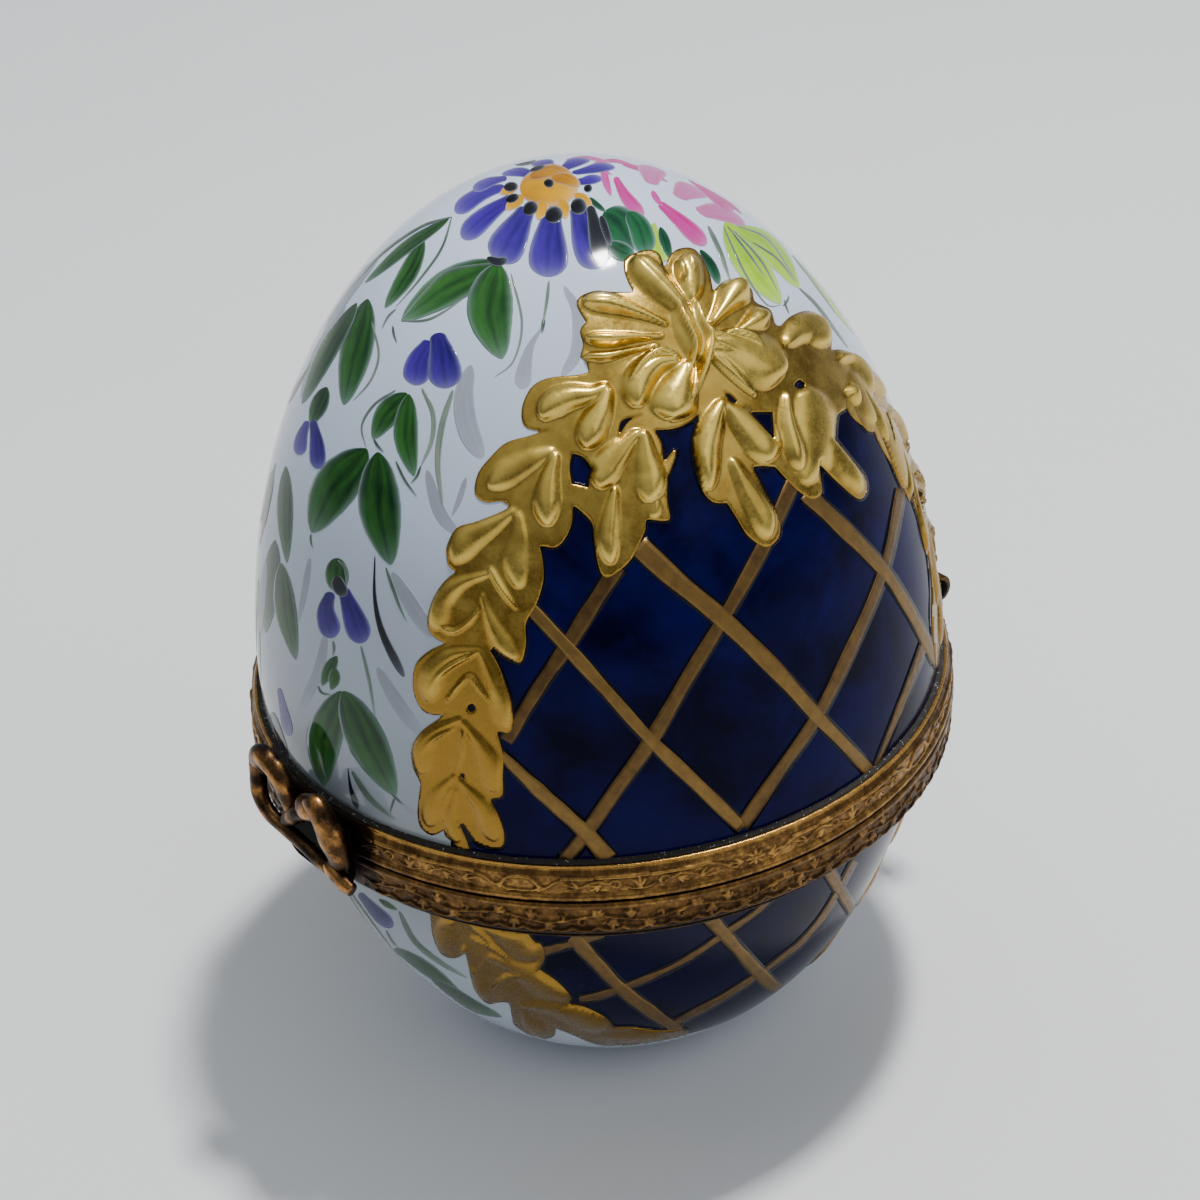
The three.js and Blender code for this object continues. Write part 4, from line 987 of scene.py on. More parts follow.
class Finish:
    """A new material with its shader, and short ways to add nodes to it. Sizes are in millimetres."""

    def __init__(self, name, **sockets):
        self.material = bpy.data.materials.new(name)
        self.material.use_nodes = True
        self.tree = self.material.node_tree
        self.shader = next(n for n in self.tree.nodes if n.type == "BSDF_PRINCIPLED")
        for socket, value in sockets.items():
            self.shader.inputs[socket.replace("_", " ")].default_value = value
        self.where = self.tree.nodes.new("ShaderNodeTexCoord").outputs["Object"]

    def add(self, kind, inputs, output=0, **settings):
        node = self.tree.nodes.new(kind)
        for key, value in settings.items():
            setattr(node, key, value)
        for key, value in inputs.items():
            if isinstance(value, bpy.types.NodeSocket):
                self.tree.links.new(value, node.inputs[key])
            else:
                node.inputs[key].default_value = value
        return node.outputs[output]

    def noise(self, size, detail=3.0, rough=0.5, at=None, warp=0.0):
        """Noise of marks size mm across, or of size as its scale where another place is given."""
        scale = 1 / (size * MM) if at is None else size
        return self.add("ShaderNodeTexNoise", {"Vector": at or self.where, "Scale": scale,
                                               "Detail": detail, "Roughness": rough, "Distortion": warp})

    def specks(self, size):
        return self.add("ShaderNodeTexVoronoi", {"Vector": self.where, "Scale": 1 / (size * MM)})

    def kept(self, name):
        return self.add("ShaderNodeAttribute", {}, output=2, attribute_name=name)

    def sum(self, operation, a, b, clamp=False):
        return self.add("ShaderNodeMath", {0: a, 1: b}, operation=operation, use_clamp=clamp)

    def span(self, value, low, high, to_low=0.0, to_high=1.0):
        return self.add("ShaderNodeMapRange", {"Value": value, "From Min": low, "From Max": high,
                                               "To Min": to_low, "To Max": to_high})

    def blend(self, share, first, second):
        mix = self.tree.nodes.new("ShaderNodeMix")
        mix.data_type = "RGBA"
        for index, value in ((0, share), (6, first), (7, second)):
            if isinstance(value, bpy.types.NodeSocket):
                self.tree.links.new(value, mix.inputs[index])
            else:
                mix.inputs[index].default_value = value if index == 0 else (*value, 1)
        return mix.outputs[2]

    def colour(self, source):
        self.tree.links.new(source, self.shader.inputs["Base Color"])
        return self

    def rough(self, source):
        self.tree.links.new(source, self.shader.inputs["Roughness"])
        return self

    def bump(self, height, depth, strength=1.0):
        source = self.add("ShaderNodeBump", {"Height": height, "Distance": depth * MM, "Strength": strength})
        self.tree.links.new(source, self.shader.inputs["Normal"])
        return self


PORCELAIN = (0.49, 0.56, 0.68)


def porcelain_finish():
    """Bluish white under a clear glaze, with a faint cloudiness and ripple, greyer towards the mounts by
    painted shade; bare and dull on the foot."""
    f = Finish("glazed_white_porcelain", IOR=1.34, Roughness=0.08)
    cloud = f.noise(9.0, 2.0)
    white = f.blend(f.span(cloud, 0.35, 0.65), (0.465, 0.535, 0.645), PORCELAIN)
    height = f.add("ShaderNodeSeparateXYZ", {"Vector": f.where}, output=2)
    # painted shade: the white greys towards the mounts, above and below the joint
    painted_shade_near_mounts = f.span(f.sum("ABSOLUTE", f.sum("SUBTRACT", height, JOINT_Z * MM), 0.0), 24 * MM, 3 * MM, 0.0,
                     0.70)
    white = f.blend(painted_shade_near_mounts, white, (0.17, 0.18, 0.17))
    bare = f.span(height, 0.25 * MM, 0.05 * MM)
    f.colour(f.blend(bare, white, (0.62, 0.59, 0.53)))
    f.rough(f.span(bare, 0.0, 1.0, 0.08, 0.75))
    f.bump(f.noise(2.4, 1.0), 0.012, 0.35)
    return f.material


def cobalt_finish():
    """Deep blue under glaze, brushed on in clouds of lighter and near-black blue, darkest on the bowl."""
    f = Finish("cobalt_blue_glaze", IOR=1.13, Roughness=0.16)
    cloud = f.noise(5.5, 3.0, 0.55, warp=0.6)
    fine = f.noise(0.35, 2.0)
    depth = f.sum("ADD", f.span(cloud, 0.34, 0.68), f.span(fine, 0.3, 0.7, -0.08, 0.08), clamp=True)
    blue = f.blend(depth, (0.0009, 0.0009, 0.011), (0.0034, 0.0032, 0.052))
    height = f.add("ShaderNodeSeparateXYZ", {"Vector": f.where}, output=2)
    f.colour(f.blend(f.span(height, 27 * MM, 21 * MM, 0.0, 0.55), blue, (0.0010, 0.0010, 0.006)))
    f.bump(f.noise(2.0, 1.0), 0.010, 0.3)
    return f.material


def outline_finish():
    """Blue-black line along the edges of the gold on the cobalt."""
    f = Finish("blue_black_outline", IOR=1.2, Roughness=0.25)
    f.colour(f.blend(f.noise(0.8, 2.0), (0.0006, 0.0006, 0.003), (0.002, 0.002, 0.010)))
    return f.material


def gilt_finish():
    """Satin gold over the glaze, with painted shade that browns the hollows of leaves and the gold low on
    the egg, painted highlight on crests and near the top, and a fine brushed grain."""
    f = Finish("satin_gold", Metallic=1.0)
    # the sheets' tone: painted highlight on crests, painted shade in hollows
    painted_relief_light = f.kept("tone")
    patch = f.noise(1.3, 2.0, 0.5)
    height = f.add("ShaderNodeSeparateXYZ", {"Vector": f.where}, output=2)
    share = f.sum("ADD", painted_relief_light, f.span(patch, 0.3, 0.7, -0.07, 0.07))
    # painted shade: darker low on the egg
    share = f.sum("ADD", share, f.span(height, 28 * MM, 48 * MM, -0.42, 0.0), clamp=True)
    low = f.blend(f.span(share, 0.0, 0.40), (0.21, 0.115, 0.020), (0.32, 0.185, 0.032))
    f.colour(f.blend(f.span(share, 0.40, 0.95), low, (1.0, 0.74, 0.17)))
    grain = f.noise(0.22, 1.0, 0.5)
    f.rough(f.sum("ADD", f.span(patch, 0.3, 0.7, 0.23, 0.33), f.span(grain, 0.3, 0.7, -0.05, 0.05)))
    f.bump(f.sum("ADD", grain, f.sum("MULTIPLY", patch, 1.2)), 0.008, 0.35)
    return f.material


def lattice_finish():
    """Flat burnished gold, thin and brown where it was laid first."""
    f = Finish("lattice_gold", Metallic=0.9)
    wear = f.noise(0.9, 3.0, 0.6)
    share = f.sum("ADD", f.kept("tone"), f.span(wear, 0.3, 0.7, -0.25, 0.25), clamp=True)
    f.colour(f.blend(share, (0.085, 0.046, 0.018), (0.22, 0.130, 0.036)))
    f.rough(f.span(f.noise(0.2, 3.0), 0.3, 0.7, 0.40, 0.56))
    f.bump(f.noise(0.25, 3.0), 0.008, 0.5)
    return f.material


def paint_finish(name, light, dark, ground=PORCELAIN, streak=0.28):
    """Brushed enamel under glaze: light to dark by the stroke's tone and by soft streaks drawn out
    along it, thinning to the ground where its cover is low."""
    f = Finish(name, IOR=1.28, Roughness=0.09)
    drawn = f.add("ShaderNodeCombineXYZ", {"X": f.sum("MULTIPLY", f.kept("along"), 0.16),
                                           "Y": f.sum("MULTIPLY", f.kept("across"), 1.3),
                                           "Z": f.kept("cover")})
    hair = f.noise(1.5, 2.0, 0.5, at=drawn, warp=0.2)
    pool = f.noise(1.1, 2.0)
    tone = f.sum("ADD", f.kept("tone"), f.span(hair, 0.3, 0.7, -streak, streak), clamp=True)
    tone = f.sum("ADD", tone, f.span(pool, 0.3, 0.7, -0.10, 0.10), clamp=True)
    f.colour(f.blend(f.kept("cover"), ground, f.blend(tone, light, dark)))
    return f.material


def brass_finish(name, bright, brown, dark, rough, relief=True, bare=1.0):
    """Aged gilt brass: dark in the hollows, brown on the flats and bright where it is rubbed and where its
    tone holds painted highlight, and darker below the joint by painted shade. bare is the share of it that
    no oxide covers."""
    f = Finish(name, Metallic=bare, IOR=1.1)
    blotch = f.noise(1.6, 4.0, 0.6)
    fine = f.noise(0.22, 4.0, 0.65)
    height = f.kept("tone") if relief else 0.42
    up = f.add("ShaderNodeSeparateXYZ", {"Vector": f.where}, output=2)
    share = f.sum("ADD", height, f.span(blotch, 0.3, 0.7, -0.15, 0.15))
    # painted shade: darker below the joint
    share = f.sum("ADD", share, f.span(up, 22.5 * MM, 26.0 * MM, -0.40, 0.0))
    share = f.sum("ADD", share, f.span(fine, 0.3, 0.7, -0.14, 0.14), clamp=True)
    low = f.blend(f.span(share, 0.05, 0.42), dark, brown)
    f.colour(f.blend(f.span(share, 0.42, 0.95), low, bright))
    f.rough(f.sum("ADD", f.span(share, 0.0, 1.0, rough + 0.18, rough - 0.08),
                  f.span(fine, 0.3, 0.7, -0.06, 0.06)))
    f.bump(f.sum("ADD", fine, f.sum("MULTIPLY", blotch, 0.8)), 0.030, 0.6)
    return f.material


def cement_finish():
    """Dark gritty cement with scattered white grains."""
    f = Finish("gritty_cement", Roughness=0.9)
    grain = f.specks(0.16)
    scatter = f.noise(0.5, 2.0)
    white = f.sum("MULTIPLY", f.span(grain, 0.26, 0.12), f.span(scatter, 0.50, 0.60))
    f.colour(f.blend(white, f.blend(f.noise(0.3, 3.0), (0.005, 0.004, 0.003), (0.022, 0.016, 0.012)),
                     (0.55, 0.54, 0.52)))
    f.bump(f.noise(0.12, 4.0), 0.05, 0.9)
    return f.material


porcelain = porcelain_finish()
cobalt = cobalt_finish()
outline = outline_finish()
satin_gold = gilt_finish()
lattice_gold = lattice_finish()
green_paint = paint_finish("leaf_green_enamel", (0.028, 0.120, 0.019), (0.002, 0.021, 0.006), streak=0.36)
spring_paint = paint_finish("yellow_green_enamel", (0.36, 0.57, 0.018), (0.10, 0.28, 0.008), streak=0.2)
deep_green_paint = paint_finish("blue_green_enamel", (0.010, 0.12, 0.040), (0.002, 0.025, 0.012))
violet_paint = paint_finish("violet_enamel", (0.045, 0.014, 0.26), (0.005, 0.0015, 0.065))
pink_paint = paint_finish("rose_enamel", (0.40, 0.055, 0.24), (0.36, 0.006, 0.15))
yellow_paint = paint_finish("amber_enamel", (0.52, 0.27, 0.002), (0.17, 0.038, 0.002), streak=0.12)
black_paint = paint_finish("black_enamel", (0.008, 0.010, 0.018), (0.001, 0.001, 0.002))
stem_paint = paint_finish("grey_green_enamel", (0.20, 0.26, 0.20), (0.012, 0.035, 0.018))
grey_paint = paint_finish("grey_wash_enamel", (0.24, 0.25, 0.28), (0.11, 0.11, 0.13), streak=0.2)
chased_brass = brass_finish("chased_antique_brass", (0.54, 0.295, 0.072), (0.138, 0.070, 0.022),
                            (0.028, 0.015, 0.007), 0.30)
bow_brass = brass_finish("cast_bow_brass", (0.50, 0.24, 0.07), (0.080, 0.042, 0.019), (0.015, 0.008, 0.005),
                         0.30)
plain_brass = brass_finish("worn_plain_brass", (0.62, 0.42, 0.16), (0.36, 0.23, 0.08), (0.12, 0.07, 0.028),
                           0.30, relief=False)
# near black: on the clasp tongue it is painted shadow behind the bow
dark_brass = brass_finish("near_black_brass", (0.006, 0.004, 0.003), (0.003, 0.002, 0.002),
                          (0.001, 0.001, 0.001), 0.50, False, 0.0)
cement = cement_finish()


# Porcelain halves

def dome_profile(rows=110):
    """From the top outside, down the ellipse to the shoulder, round the seat and rim, and up the
    inside ellipse."""
    a = np.linspace(math.pi / 2 - 0.001, 0, rows)
    outside = np.stack([DOME_RADIUS * np.cos(a), DOME_FOOT_Z + DOME_RISE * np.sin(a)], 1)
    b = np.linspace(0, math.pi / 2 - 0.001, 60)
    inside = np.stack([RIM_BORE * np.cos(b), DOME_FOOT_Z + INNER_RISE * np.sin(b)], 1)
    rim = [(23.15, DOME_FOOT_Z), (23.15, 25.84), (23.06, 25.76), (21.3, 25.76), (21.16, 25.84),
           (RIM_BORE, 26.1)]
    return np.vstack([[0, DOME_TOP_Z], outside, rim, inside, [0, inside[-1][1]]])


def bowl_profile():
    """From the middle of the recess under the foot, round the foot and up the outside, over the seat
    and rim, and down the inside, which is the side moved in by the wall."""
    inner = bowl_side(60, WALL)[::-1]
    foot = [(7.0, 0.62), (7.3, 0.5), (7.52, 0.14), (7.72, 0.02), (8.5, 0.0), (9.36, 0.02), (9.66, 0.14)]
    rim = [(22.35, 21.27), (22.93, 24.56), (22.85, 24.64), (21.3, 24.64), (21.16, 24.56), (RIM_BORE, 24.3),
           (RIM_BORE, 23.3)]
    floor = [(8.0, 2.28), (7.2, 2.24)]
    return np.vstack([[0, 0.62], [0.02, 0.62], foot, bowl_side(90), rim, inner, floor, [0.02, 2.24],
                      [0, 2.24]])


make_piece("lid_porcelain", [turn(dome_profile(), 256)], "lid", porcelain, ["lid_shell"])
make_piece("bowl_porcelain", [turn(bowl_profile(), 256)], "bowl", porcelain,
           ["base_shell"])

TWICE = [{}, {"turn_by": BACK_TURN, "reach": BACK_REACH, "width": BACK_WIDTH}]  # the lid's two panels
BOTH = [{}, {"turn_by": BACK_TURN, "width": BACK_WIDTH}]  # the bowl's

# Cobalt panels. Their edges run under the middle of the garland.
LID_PANEL_LEFT = [(453, 872), (450, 830)] + LID_COBALT_EDGE[0][2:13]
BOWL_PANEL_LEFT = BOWL_COBALT_EDGE[0][1:6] + [(650, 1040)]


def edge_places(pixels, surface):
    """(azimuth, z) of the pixels, lowest first."""
    points = SURFACES[surface][0](np.array(pixels, float))
    places = np.stack([azimuth(points), points[:, 2]], 1)
    return places[np.argsort(places[:, 1])]


def panel_between(left, z, surface, lift, copies, rows=90, columns=90):
    """Closed layer over the glaze between the left edge and its mirror image about the panel's
    middle: rows at even heights, columns at even shares of the azimuth between them."""
    heights = np.linspace(z[0], z[1], rows)
    reach = PANEL_MIDDLE - np.interp(heights, left[:, 1], left[:, 0])
    share = np.linspace(-1, 1, columns)
    angle = PANEL_MIDDLE + reach[:, None] * share[None, :]
    grid = np.stack([angle, np.broadcast_to(heights[:, None], angle.shape)], -1)
    return [lay(grid, surface, lift, sink=0.05, **copy) for copy in copies]


lid_edge = edge_places(LID_PANEL_LEFT, "dome")
bowl_edge = edge_places(BOWL_PANEL_LEFT, "bowl")
lid_edge[-1, 0] = PANEL_MIDDLE - 2
bowl_edge = np.vstack([[PANEL_MIDDLE - 3, bowl_edge[0, 1] - 1.2], bowl_edge])
make_piece("lid_cobalt_panels", panel_between(lid_edge, (DOME_FOOT_Z, lid_edge[-1, 1]), "dome wall", 0.008,
                                               TWICE), "lid", cobalt)
make_piece("bowl_cobalt_panels", panel_between(bowl_edge, (bowl_edge[0, 1], BOWL_TOP[1]), "bowl wall", 0.008,
                                                BOTH), "bowl", cobalt)


# Lattice
def lattice_bands(half):
    gold, line = [], []
    for path, start, end, surface, tone in LATTICE:
        if surface != half:
            continue
        for grow, lift, out in ((0, 0.030, gold), (OUTLINE_WIDTH, 0.016, line)):
            for copy in (TWICE if half == "dome" else BOTH):
                grid, along, across = stroke_grid(path, 1.0, "band", 60, 5)
                middle = grid[:, 2:3]
                width = np.interp(along, (0, 1), (start, end))[..., None] / 2 + grow
                wander = 0.5 * np.sin(11 * along + start) + 0.35 * np.sin(29 * along + end)
                side = grid - middle
                side /= np.linalg.norm(side, axis=-1, keepdims=True) + 1e-9
                if grow == 0:
                    width = width + wander[..., None]
                spread = middle + side * (np.abs(across)[..., None] * width)
                out.append(lay(spread, surface, lift + 0.006 * tone, sink=0.04, tone=tone, along=along,
                               across=across, **copy))
    return gold, line


for half, body in (("dome", "lid"), ("bowl", "bowl")):
    gold, line = lattice_bands(half)
    make_piece(f"{body}_lattice", gold, body, lattice_gold)
    make_piece(f"{body}_lattice_outline", line, body, outline)


# Gilding
def facing(places, surface):
    """How squarely the glaze at these pixels faces the camera."""
    points, n = on_glaze(places, surface)
    ray = CAMERA_PLACE - points
    return (n * ray).sum(-1) / np.linalg.norm(ray, axis=-1), points


def gold_reach(gold, holes, surface, top_z, foot_z):
    """Distance inside the gilding's edge: the least of those from its outline, its holes, the ends
    of the surface and the rim of what the camera sees."""
    outline_of_gold, outlines_of_holes = edge_line(gold), [edge_line(hole, 1.5) for hole in holes]

    def reach(places):
        depth = distance_inside(places, outline_of_gold)
        for hole in outlines_of_holes:
            depth = np.minimum(depth, -distance_inside(places, hole))
        square, points = facing(places, surface)
        depth = np.minimum(depth, (square - GOLD_EDGE_ON[surface]) * 60)
        return np.minimum(depth, np.minimum(top_z - points[:, 2], points[:, 2] - foot_z) * PIXELS_PER_MM)
    return reach


def left_part(reach, surface, top_z, right_edge):
    """The part of the gilding that is repeated, mirrored, on the far side of its panel."""
    def part(places):
        points = on_glaze(places, surface)[0]
        inside_z = (top_z - points[:, 2]) * PIXELS_PER_MM
        return np.minimum(reach(places), np.minimum(inside_z, right_edge - places[:, 0]))
    return part


def line_beside(reach, cobalt_edge):
    """A narrow band along the gilding's edge where that lies on the cobalt."""
    outline_of_cobalt = edge_line(cobalt_edge)

    def depth_at(places):
        gold = reach(places)
        beside = np.minimum(gold + OUTLINE_WIDTH, OUTLINE_WIDTH + 1 - gold)
        return np.minimum(beside, distance_inside(places, outline_of_cobalt))

    return depth_at


def mirrored(copies):
    return [{**copy, "mirror": PANEL_MIDDLE} for copy in copies]


def gild(body, surface, box, reach, part, cobalt_edge, lobes, copies):

    def field(places):
        return lobe_field(lobes, places)

    line = line_beside(reach, cobalt_edge)
    front = cut_sheet(*box, 2.0, reach, surface, 0.060, field=field, copies=copies, tone=0.50)
    far = cut_sheet(*box, 3.0, part, surface, 0.053, field=field, copies=mirrored(copies), tone=0.50)
    dark = cut_sheet(*box, 2.0, line, surface, 0.022, sink=0.05, copies=copies)
    for number, skin in enumerate(front):
        make_piece(f"{body}_raised_gilding_{number + 1}", [skin], body, satin_gold)
    make_piece(f"{body}_raised_gilding_3", far, body, satin_gold)
    make_piece(f"{body}_gilding_outline", dark, body, outline)


lid_reach = gold_reach(LID_GOLD_EDGE, LID_GOLD_HOLES, "dome", 99.0, DOME_FOOT_Z)
gild("lid", "dome", ((404, 242), (952, 864)), lid_reach, left_part(lid_reach, "dome", 51.0, 572),
     LID_COBALT_EDGE, LEFT_GARLAND + INNER_LOBES + RIGHT_GARLAND + FLOWER_PETALS, TWICE)
bowl_reach = gold_reach(BOWL_GOLD_EDGE, [], "bowl", BOWL_TOP[1], 1.0)
gild("bowl", "bowl", ((424, 896), (700, 1052)), bowl_reach, left_part(bowl_reach, "bowl", 99.0, 660),
     BOWL_COBALT_EDGE, LOWER_GARLAND, BOTH)


# Painted flowers
def hidden_copy(path, surface):
    """True where a stroke is seen squarely enough to be known, and its copy turned to the back field
    would stay out of the photograph's view."""
    square = []
    for turn_by in (0, 180):
        points, n = on_glaze(np.array(path, float), surface, turn_by=turn_by)
        square.append((n * (CAMERA_PLACE - points)).sum(-1) / np.linalg.norm(CAMERA_PLACE - points, axis=-1))
    return square[1].max() < -0.02 and (surface.endswith("wall") or square[0].min() > 0.22)


def sprays(strokes, surface, lift, **extra):
    """Strokes on the front field, repeated on the back one where they are out of the front view. Each
    lies a little above the one before, over four steps, so that crossing strokes keep apart."""
    skins = []
    for place, stroke in enumerate(strokes):
        path, width, brush, tone = stroke[:4]
        edge = stroke[4] if len(stroke) > 4 else 0.0
        for t in (0, 180) if hidden_copy(path, surface) else (0,):
            skins.append(paint_stroke(path, width, brush, surface, lift + 0.0008 * (place % 4), dark=tone,
                                      edge=edge, turn_by=t, **extra))
    return skins


def thin_lines(lines, surface, lift):
    return sprays([(path, width, "line", tone) for path, width, tone in lines], surface, lift,
                  vein=0.0, steps=30, columns=5)


def lid_paint(name, skins, finish):
    make_piece(name, skins, "lid", finish)


grey_strokes = [(p, w, b, 0.35) for p, w, b in GREY_WASHES]
lid_paint("lid_grey_washes", sprays(grey_strokes, "painted dome", 0.006, vein=0.1, thin=0.72), grey_paint)
lid_paint("lid_green_leaves", sprays(GREEN_LEAVES, "painted dome", 0.014)
          + sprays(FAR_LEAVES, "painted dome", 0.013, thin=0.6)
          + sprays(HIDDEN_LID_LEAVES, "dome wall", 0.014), green_paint)
lid_paint("lid_yellow_green_leaves", sprays(SPRING_LEAVES, "painted dome", 0.014, vein=0.2), spring_paint)
lid_paint("lid_blue_green_leaves", sprays(DARK_LEAVES, "painted dome", 0.017), deep_green_paint)
lid_paint("lid_violet_petals", sprays(VIOLET_PETALS, "painted dome", 0.018, vein=0.2)
          + sprays(VIOLET_ABOVE, "dome top", 0.018, vein=0.2), violet_paint)
lid_paint("lid_rose_petals", sprays(PINK_PETALS, "painted dome", 0.014, vein=-0.15)
          + sprays(PINK_ABOVE, "dome top", 0.014, vein=-0.15, thin=0.85), pink_paint)
lid_paint("lid_daisy_heart", sprays(DAISY_HEART, "painted dome", 0.021, vein=0.0, columns=17)
          + sprays(DAISY_BROWN, "painted dome", 0.023, vein=0.0), yellow_paint)
lid_paint("lid_stems", thin_lines(STEMS, "painted dome", 0.022), stem_paint)
lid_paint("lid_black_touches", sprays([(p, w, "oval", 0.8) for p, w in DAISY_SEEDS], "painted dome", 0.026)
          + sprays(SHADES, "painted dome", 0.024, vein=0.1, thin=0.985), black_paint)
make_piece("bowl_green_leaves", sprays(BOWL_LEAVES, "bowl", 0.014)
           + sprays(HIDDEN_BOWL_LEAVES, "bowl wall", 0.014), "bowl", green_paint)
make_piece("bowl_violet_petals", sprays(BOWL_VIOLET, "bowl", 0.018), "bowl", violet_paint)
make_piece("bowl_stems", thin_lines(BOWL_STEMS, "bowl", 0.020), "bowl", stem_paint)


# Brass mounts

BAND_COLUMNS = 1800
GIRTH = 2 * math.pi * MOUNT_RADIUS
CARTOUCHE_AZIMUTH = -52.5  # an octagonal cartouche's middle
CARTOUCHES = 10


def capsules(s, v, strokes):
    """Relief of round-backed strokes: at each place the greatest of height times the root of
    1 - (distance / half width) squared, over straight strokes (s0, v0, s1, v1, half width, height)."""
    relief = np.zeros(np.broadcast(s, v).shape)
    for s0, v0, s1, v1, width, height in strokes:
        ds, dv = s1 - s0, v1 - v0
        t = np.clip(((s - s0) * ds + (v - v0) * dv) / (ds * ds + dv * dv + 1e-9), 0, 1)
        far = ((s - s0 - t * ds)**2 + (v - v0 - t * dv)**2) / width**2
        relief = np.maximum(relief, height * np.sqrt(np.clip(1 - far, 0, 1)))
    return relief


def chain(points, width, height, taper=1.0):
    """Strokes along a line of points, whose width shrinks to taper at the end."""
    points = np.asarray(points, float)
    widths = width * np.linspace(1, taper, len(points) - 1)
    return [(*a, *b, w, height) for a, b, w in zip(points[:-1], points[1:], widths)]


def curl(s, v, radius, start, sweep_by, width, height, steps=9):
    """A scroll: an arc in degrees whose radius shrinks to a third at its end."""
    angle = np.radians(start + np.linspace(0, sweep_by, steps))
    reach = radius * np.linspace(1, 0.33, steps)
    return chain(np.stack([s + reach * np.cos(angle), v + reach * np.sin(angle)], 1), width, height, 0.8)


def leaf_marks(s, v, angle, length, width, height):
    """A leaf of three strokes fanning from one foot."""
    strokes = []
    for lean, share in ((0, 1.0), (28, 0.72), (-28, 0.72)):
        a = math.radians(angle + lean)
        strokes.append((s + 0.15 * length * math.cos(a), v + 0.15 * length * math.sin(a),
                        s + share * length * math.cos(a), v + share * length * math.sin(a), width, height))
    return strokes


OCTAGON = [(-1.28, 0.50), (-0.95, 1.02), (-0.50, 1.27), (0.50, 1.27), (0.95, 1.02), (1.28, 0.50),
           (0.85, 0.20), (-0.85, 0.20), (-1.28, 0.50)]
cartouche = chain(OCTAGON, 0.115, 1.0) + [(-0.5, 0.7, 0.5, 0.7, 0.48, 0.30)]
cartouche += chain([(1.25, 0.60), (1.62, 0.42), (1.95, 0.62)], 0.10, 0.8)
cartouche += chain([(-1.25, 0.60), (-1.62, 0.42), (-1.95, 0.62)], 0.10, 0.8)
rosette = [(0, 0.70, 0, 0.70, 0.20, 1.0)]
for petal in range(8):
    a = math.radians(45 * petal)
    rosette.append((0.30 * math.cos(a), 0.70 + 0.30 * math.sin(a),
                    0.56 * math.cos(a), 0.70 + 0.52 * math.sin(a), 0.135, 0.85))
rosette += leaf_marks(0.85, 0.60, 10, 1.0, 0.12, 0.8) + leaf_marks(-0.85, 0.60, 170, 1.0, 0.12, 0.8)

panel_marks = [(-4.95, 1.20, -3.0, 1.18, 0.12, 1.05), (-2.75, 1.24, 0.55, 1.25, 0.13, 1.05),
               (0.80, 1.20, 4.60, 1.27, 0.12, 1.05)]
panel_marks += chain([(-4.95, 1.10), (-5.5, 0.85), (-6.0, 0.45), (-6.5, 0.22)], 0.10, 0.9)
panel_marks += chain([(4.6, 1.20), (5.4, 0.95), (5.9, 0.55), (6.4, 0.30)], 0.10, 0.9)
panel_marks += curl(-1.55, 0.62, 0.42, 160, -330, 0.10, 0.8) + curl(1.55, 0.62, 0.42, 20, 330, 0.10, 0.8)
panel_marks += chain([(-1.95, 0.70), (-2.6, 0.95), (-3.3, 0.80), (-3.9, 0.45)], 0.11, 0.8, 0.6)
panel_marks += chain([(1.95, 0.70), (2.6, 0.95), (3.3, 0.80), (3.9, 0.45)], 0.11, 0.8, 0.6)
panel_marks += leaf_marks(-2.5, 0.70, 215, 0.75, 0.11, 0.75) + leaf_marks(2.5, 0.70, -35, 0.75, 0.11, 0.75)
panel_marks += leaf_marks(-3.8, 0.42, 160, 1.0, 0.10, 0.8) + leaf_marks(3.8, 0.42, 20, 1.0, 0.10, 0.8)
panel_marks += leaf_marks(0, 0.30, 90, 0.85, 0.13, 0.9) + [(0, 0.28, 0, 0.28, 0.18, 0.9)]
panel_marks += chain([(-0.9, 0.45), (-0.5, 0.25), (0, 0.18), (0.5, 0.25), (0.9, 0.45)], 0.09, 0.7)

VINE_PITCH = GIRTH / 24
vine_marks = []
for side in (-1, 0, 1):
    s0 = side * VINE_PITCH
    wave = np.linspace(0, 1, 17)
    stem = np.stack([s0 + VINE_PITCH * (wave - 0.5), 1.02 + 0.26 * np.sin(2 * math.pi * wave)], 1)
    vine_marks += chain(stem, 0.10, 0.75)
    vine_marks += leaf_marks(s0 - 1.75, 1.20, 58, 0.85, 0.15, 0.95)
    vine_marks += leaf_marks(s0 + 1.55, 0.82, -65, 0.80, 0.15, 1.0)
    vine_marks += leaf_marks(s0 - 0.55, 1.05, -95, 0.80, 0.14, 0.9)
    vine_marks += leaf_marks(s0 + 0.55, 1.02, 88, 0.75, 0.14, 0.9)
    vine_marks += curl(s0 - 2.55, 0.78, 0.34, 60, 320, 0.09, 0.85)
    vine_marks += curl(s0 + 2.45, 1.20, 0.30, 240, 320, 0.09, 0.8)
    vine_marks += [(s0 + 1.05, 1.30, s0 + 1.05, 1.30, 0.17, 0.9), (s0 - 1.2, 0.72, s0 - 1.2, 0.72, 0.16, 0.9)]
    for scallop in range(4):
        c = s0 + (scallop - 1.5) * VINE_PITCH / 4
        edge = [(c - 0.78, 0.34), (c - 0.40, 0.12), (c, 0.05), (c + 0.40, 0.12), (c + 0.78, 0.34)]
        vine_marks += chain(edge, 0.115, 1.0)


def gritty(shape, rounds, seed):
    """Even random numbers smoothed by averaging with their neighbours, scaled to about -1 to 1."""
    noise = np.random.default_rng(seed).uniform(-1, 1, shape)
    for _ in range(rounds):
        noise = (noise + np.roll(noise, 1, 1) + np.roll(noise, -1, 1)
                 + np.roll(noise, 1, 0) + np.roll(noise, -1, 0)) / 5
    return noise / np.abs(noise).max()


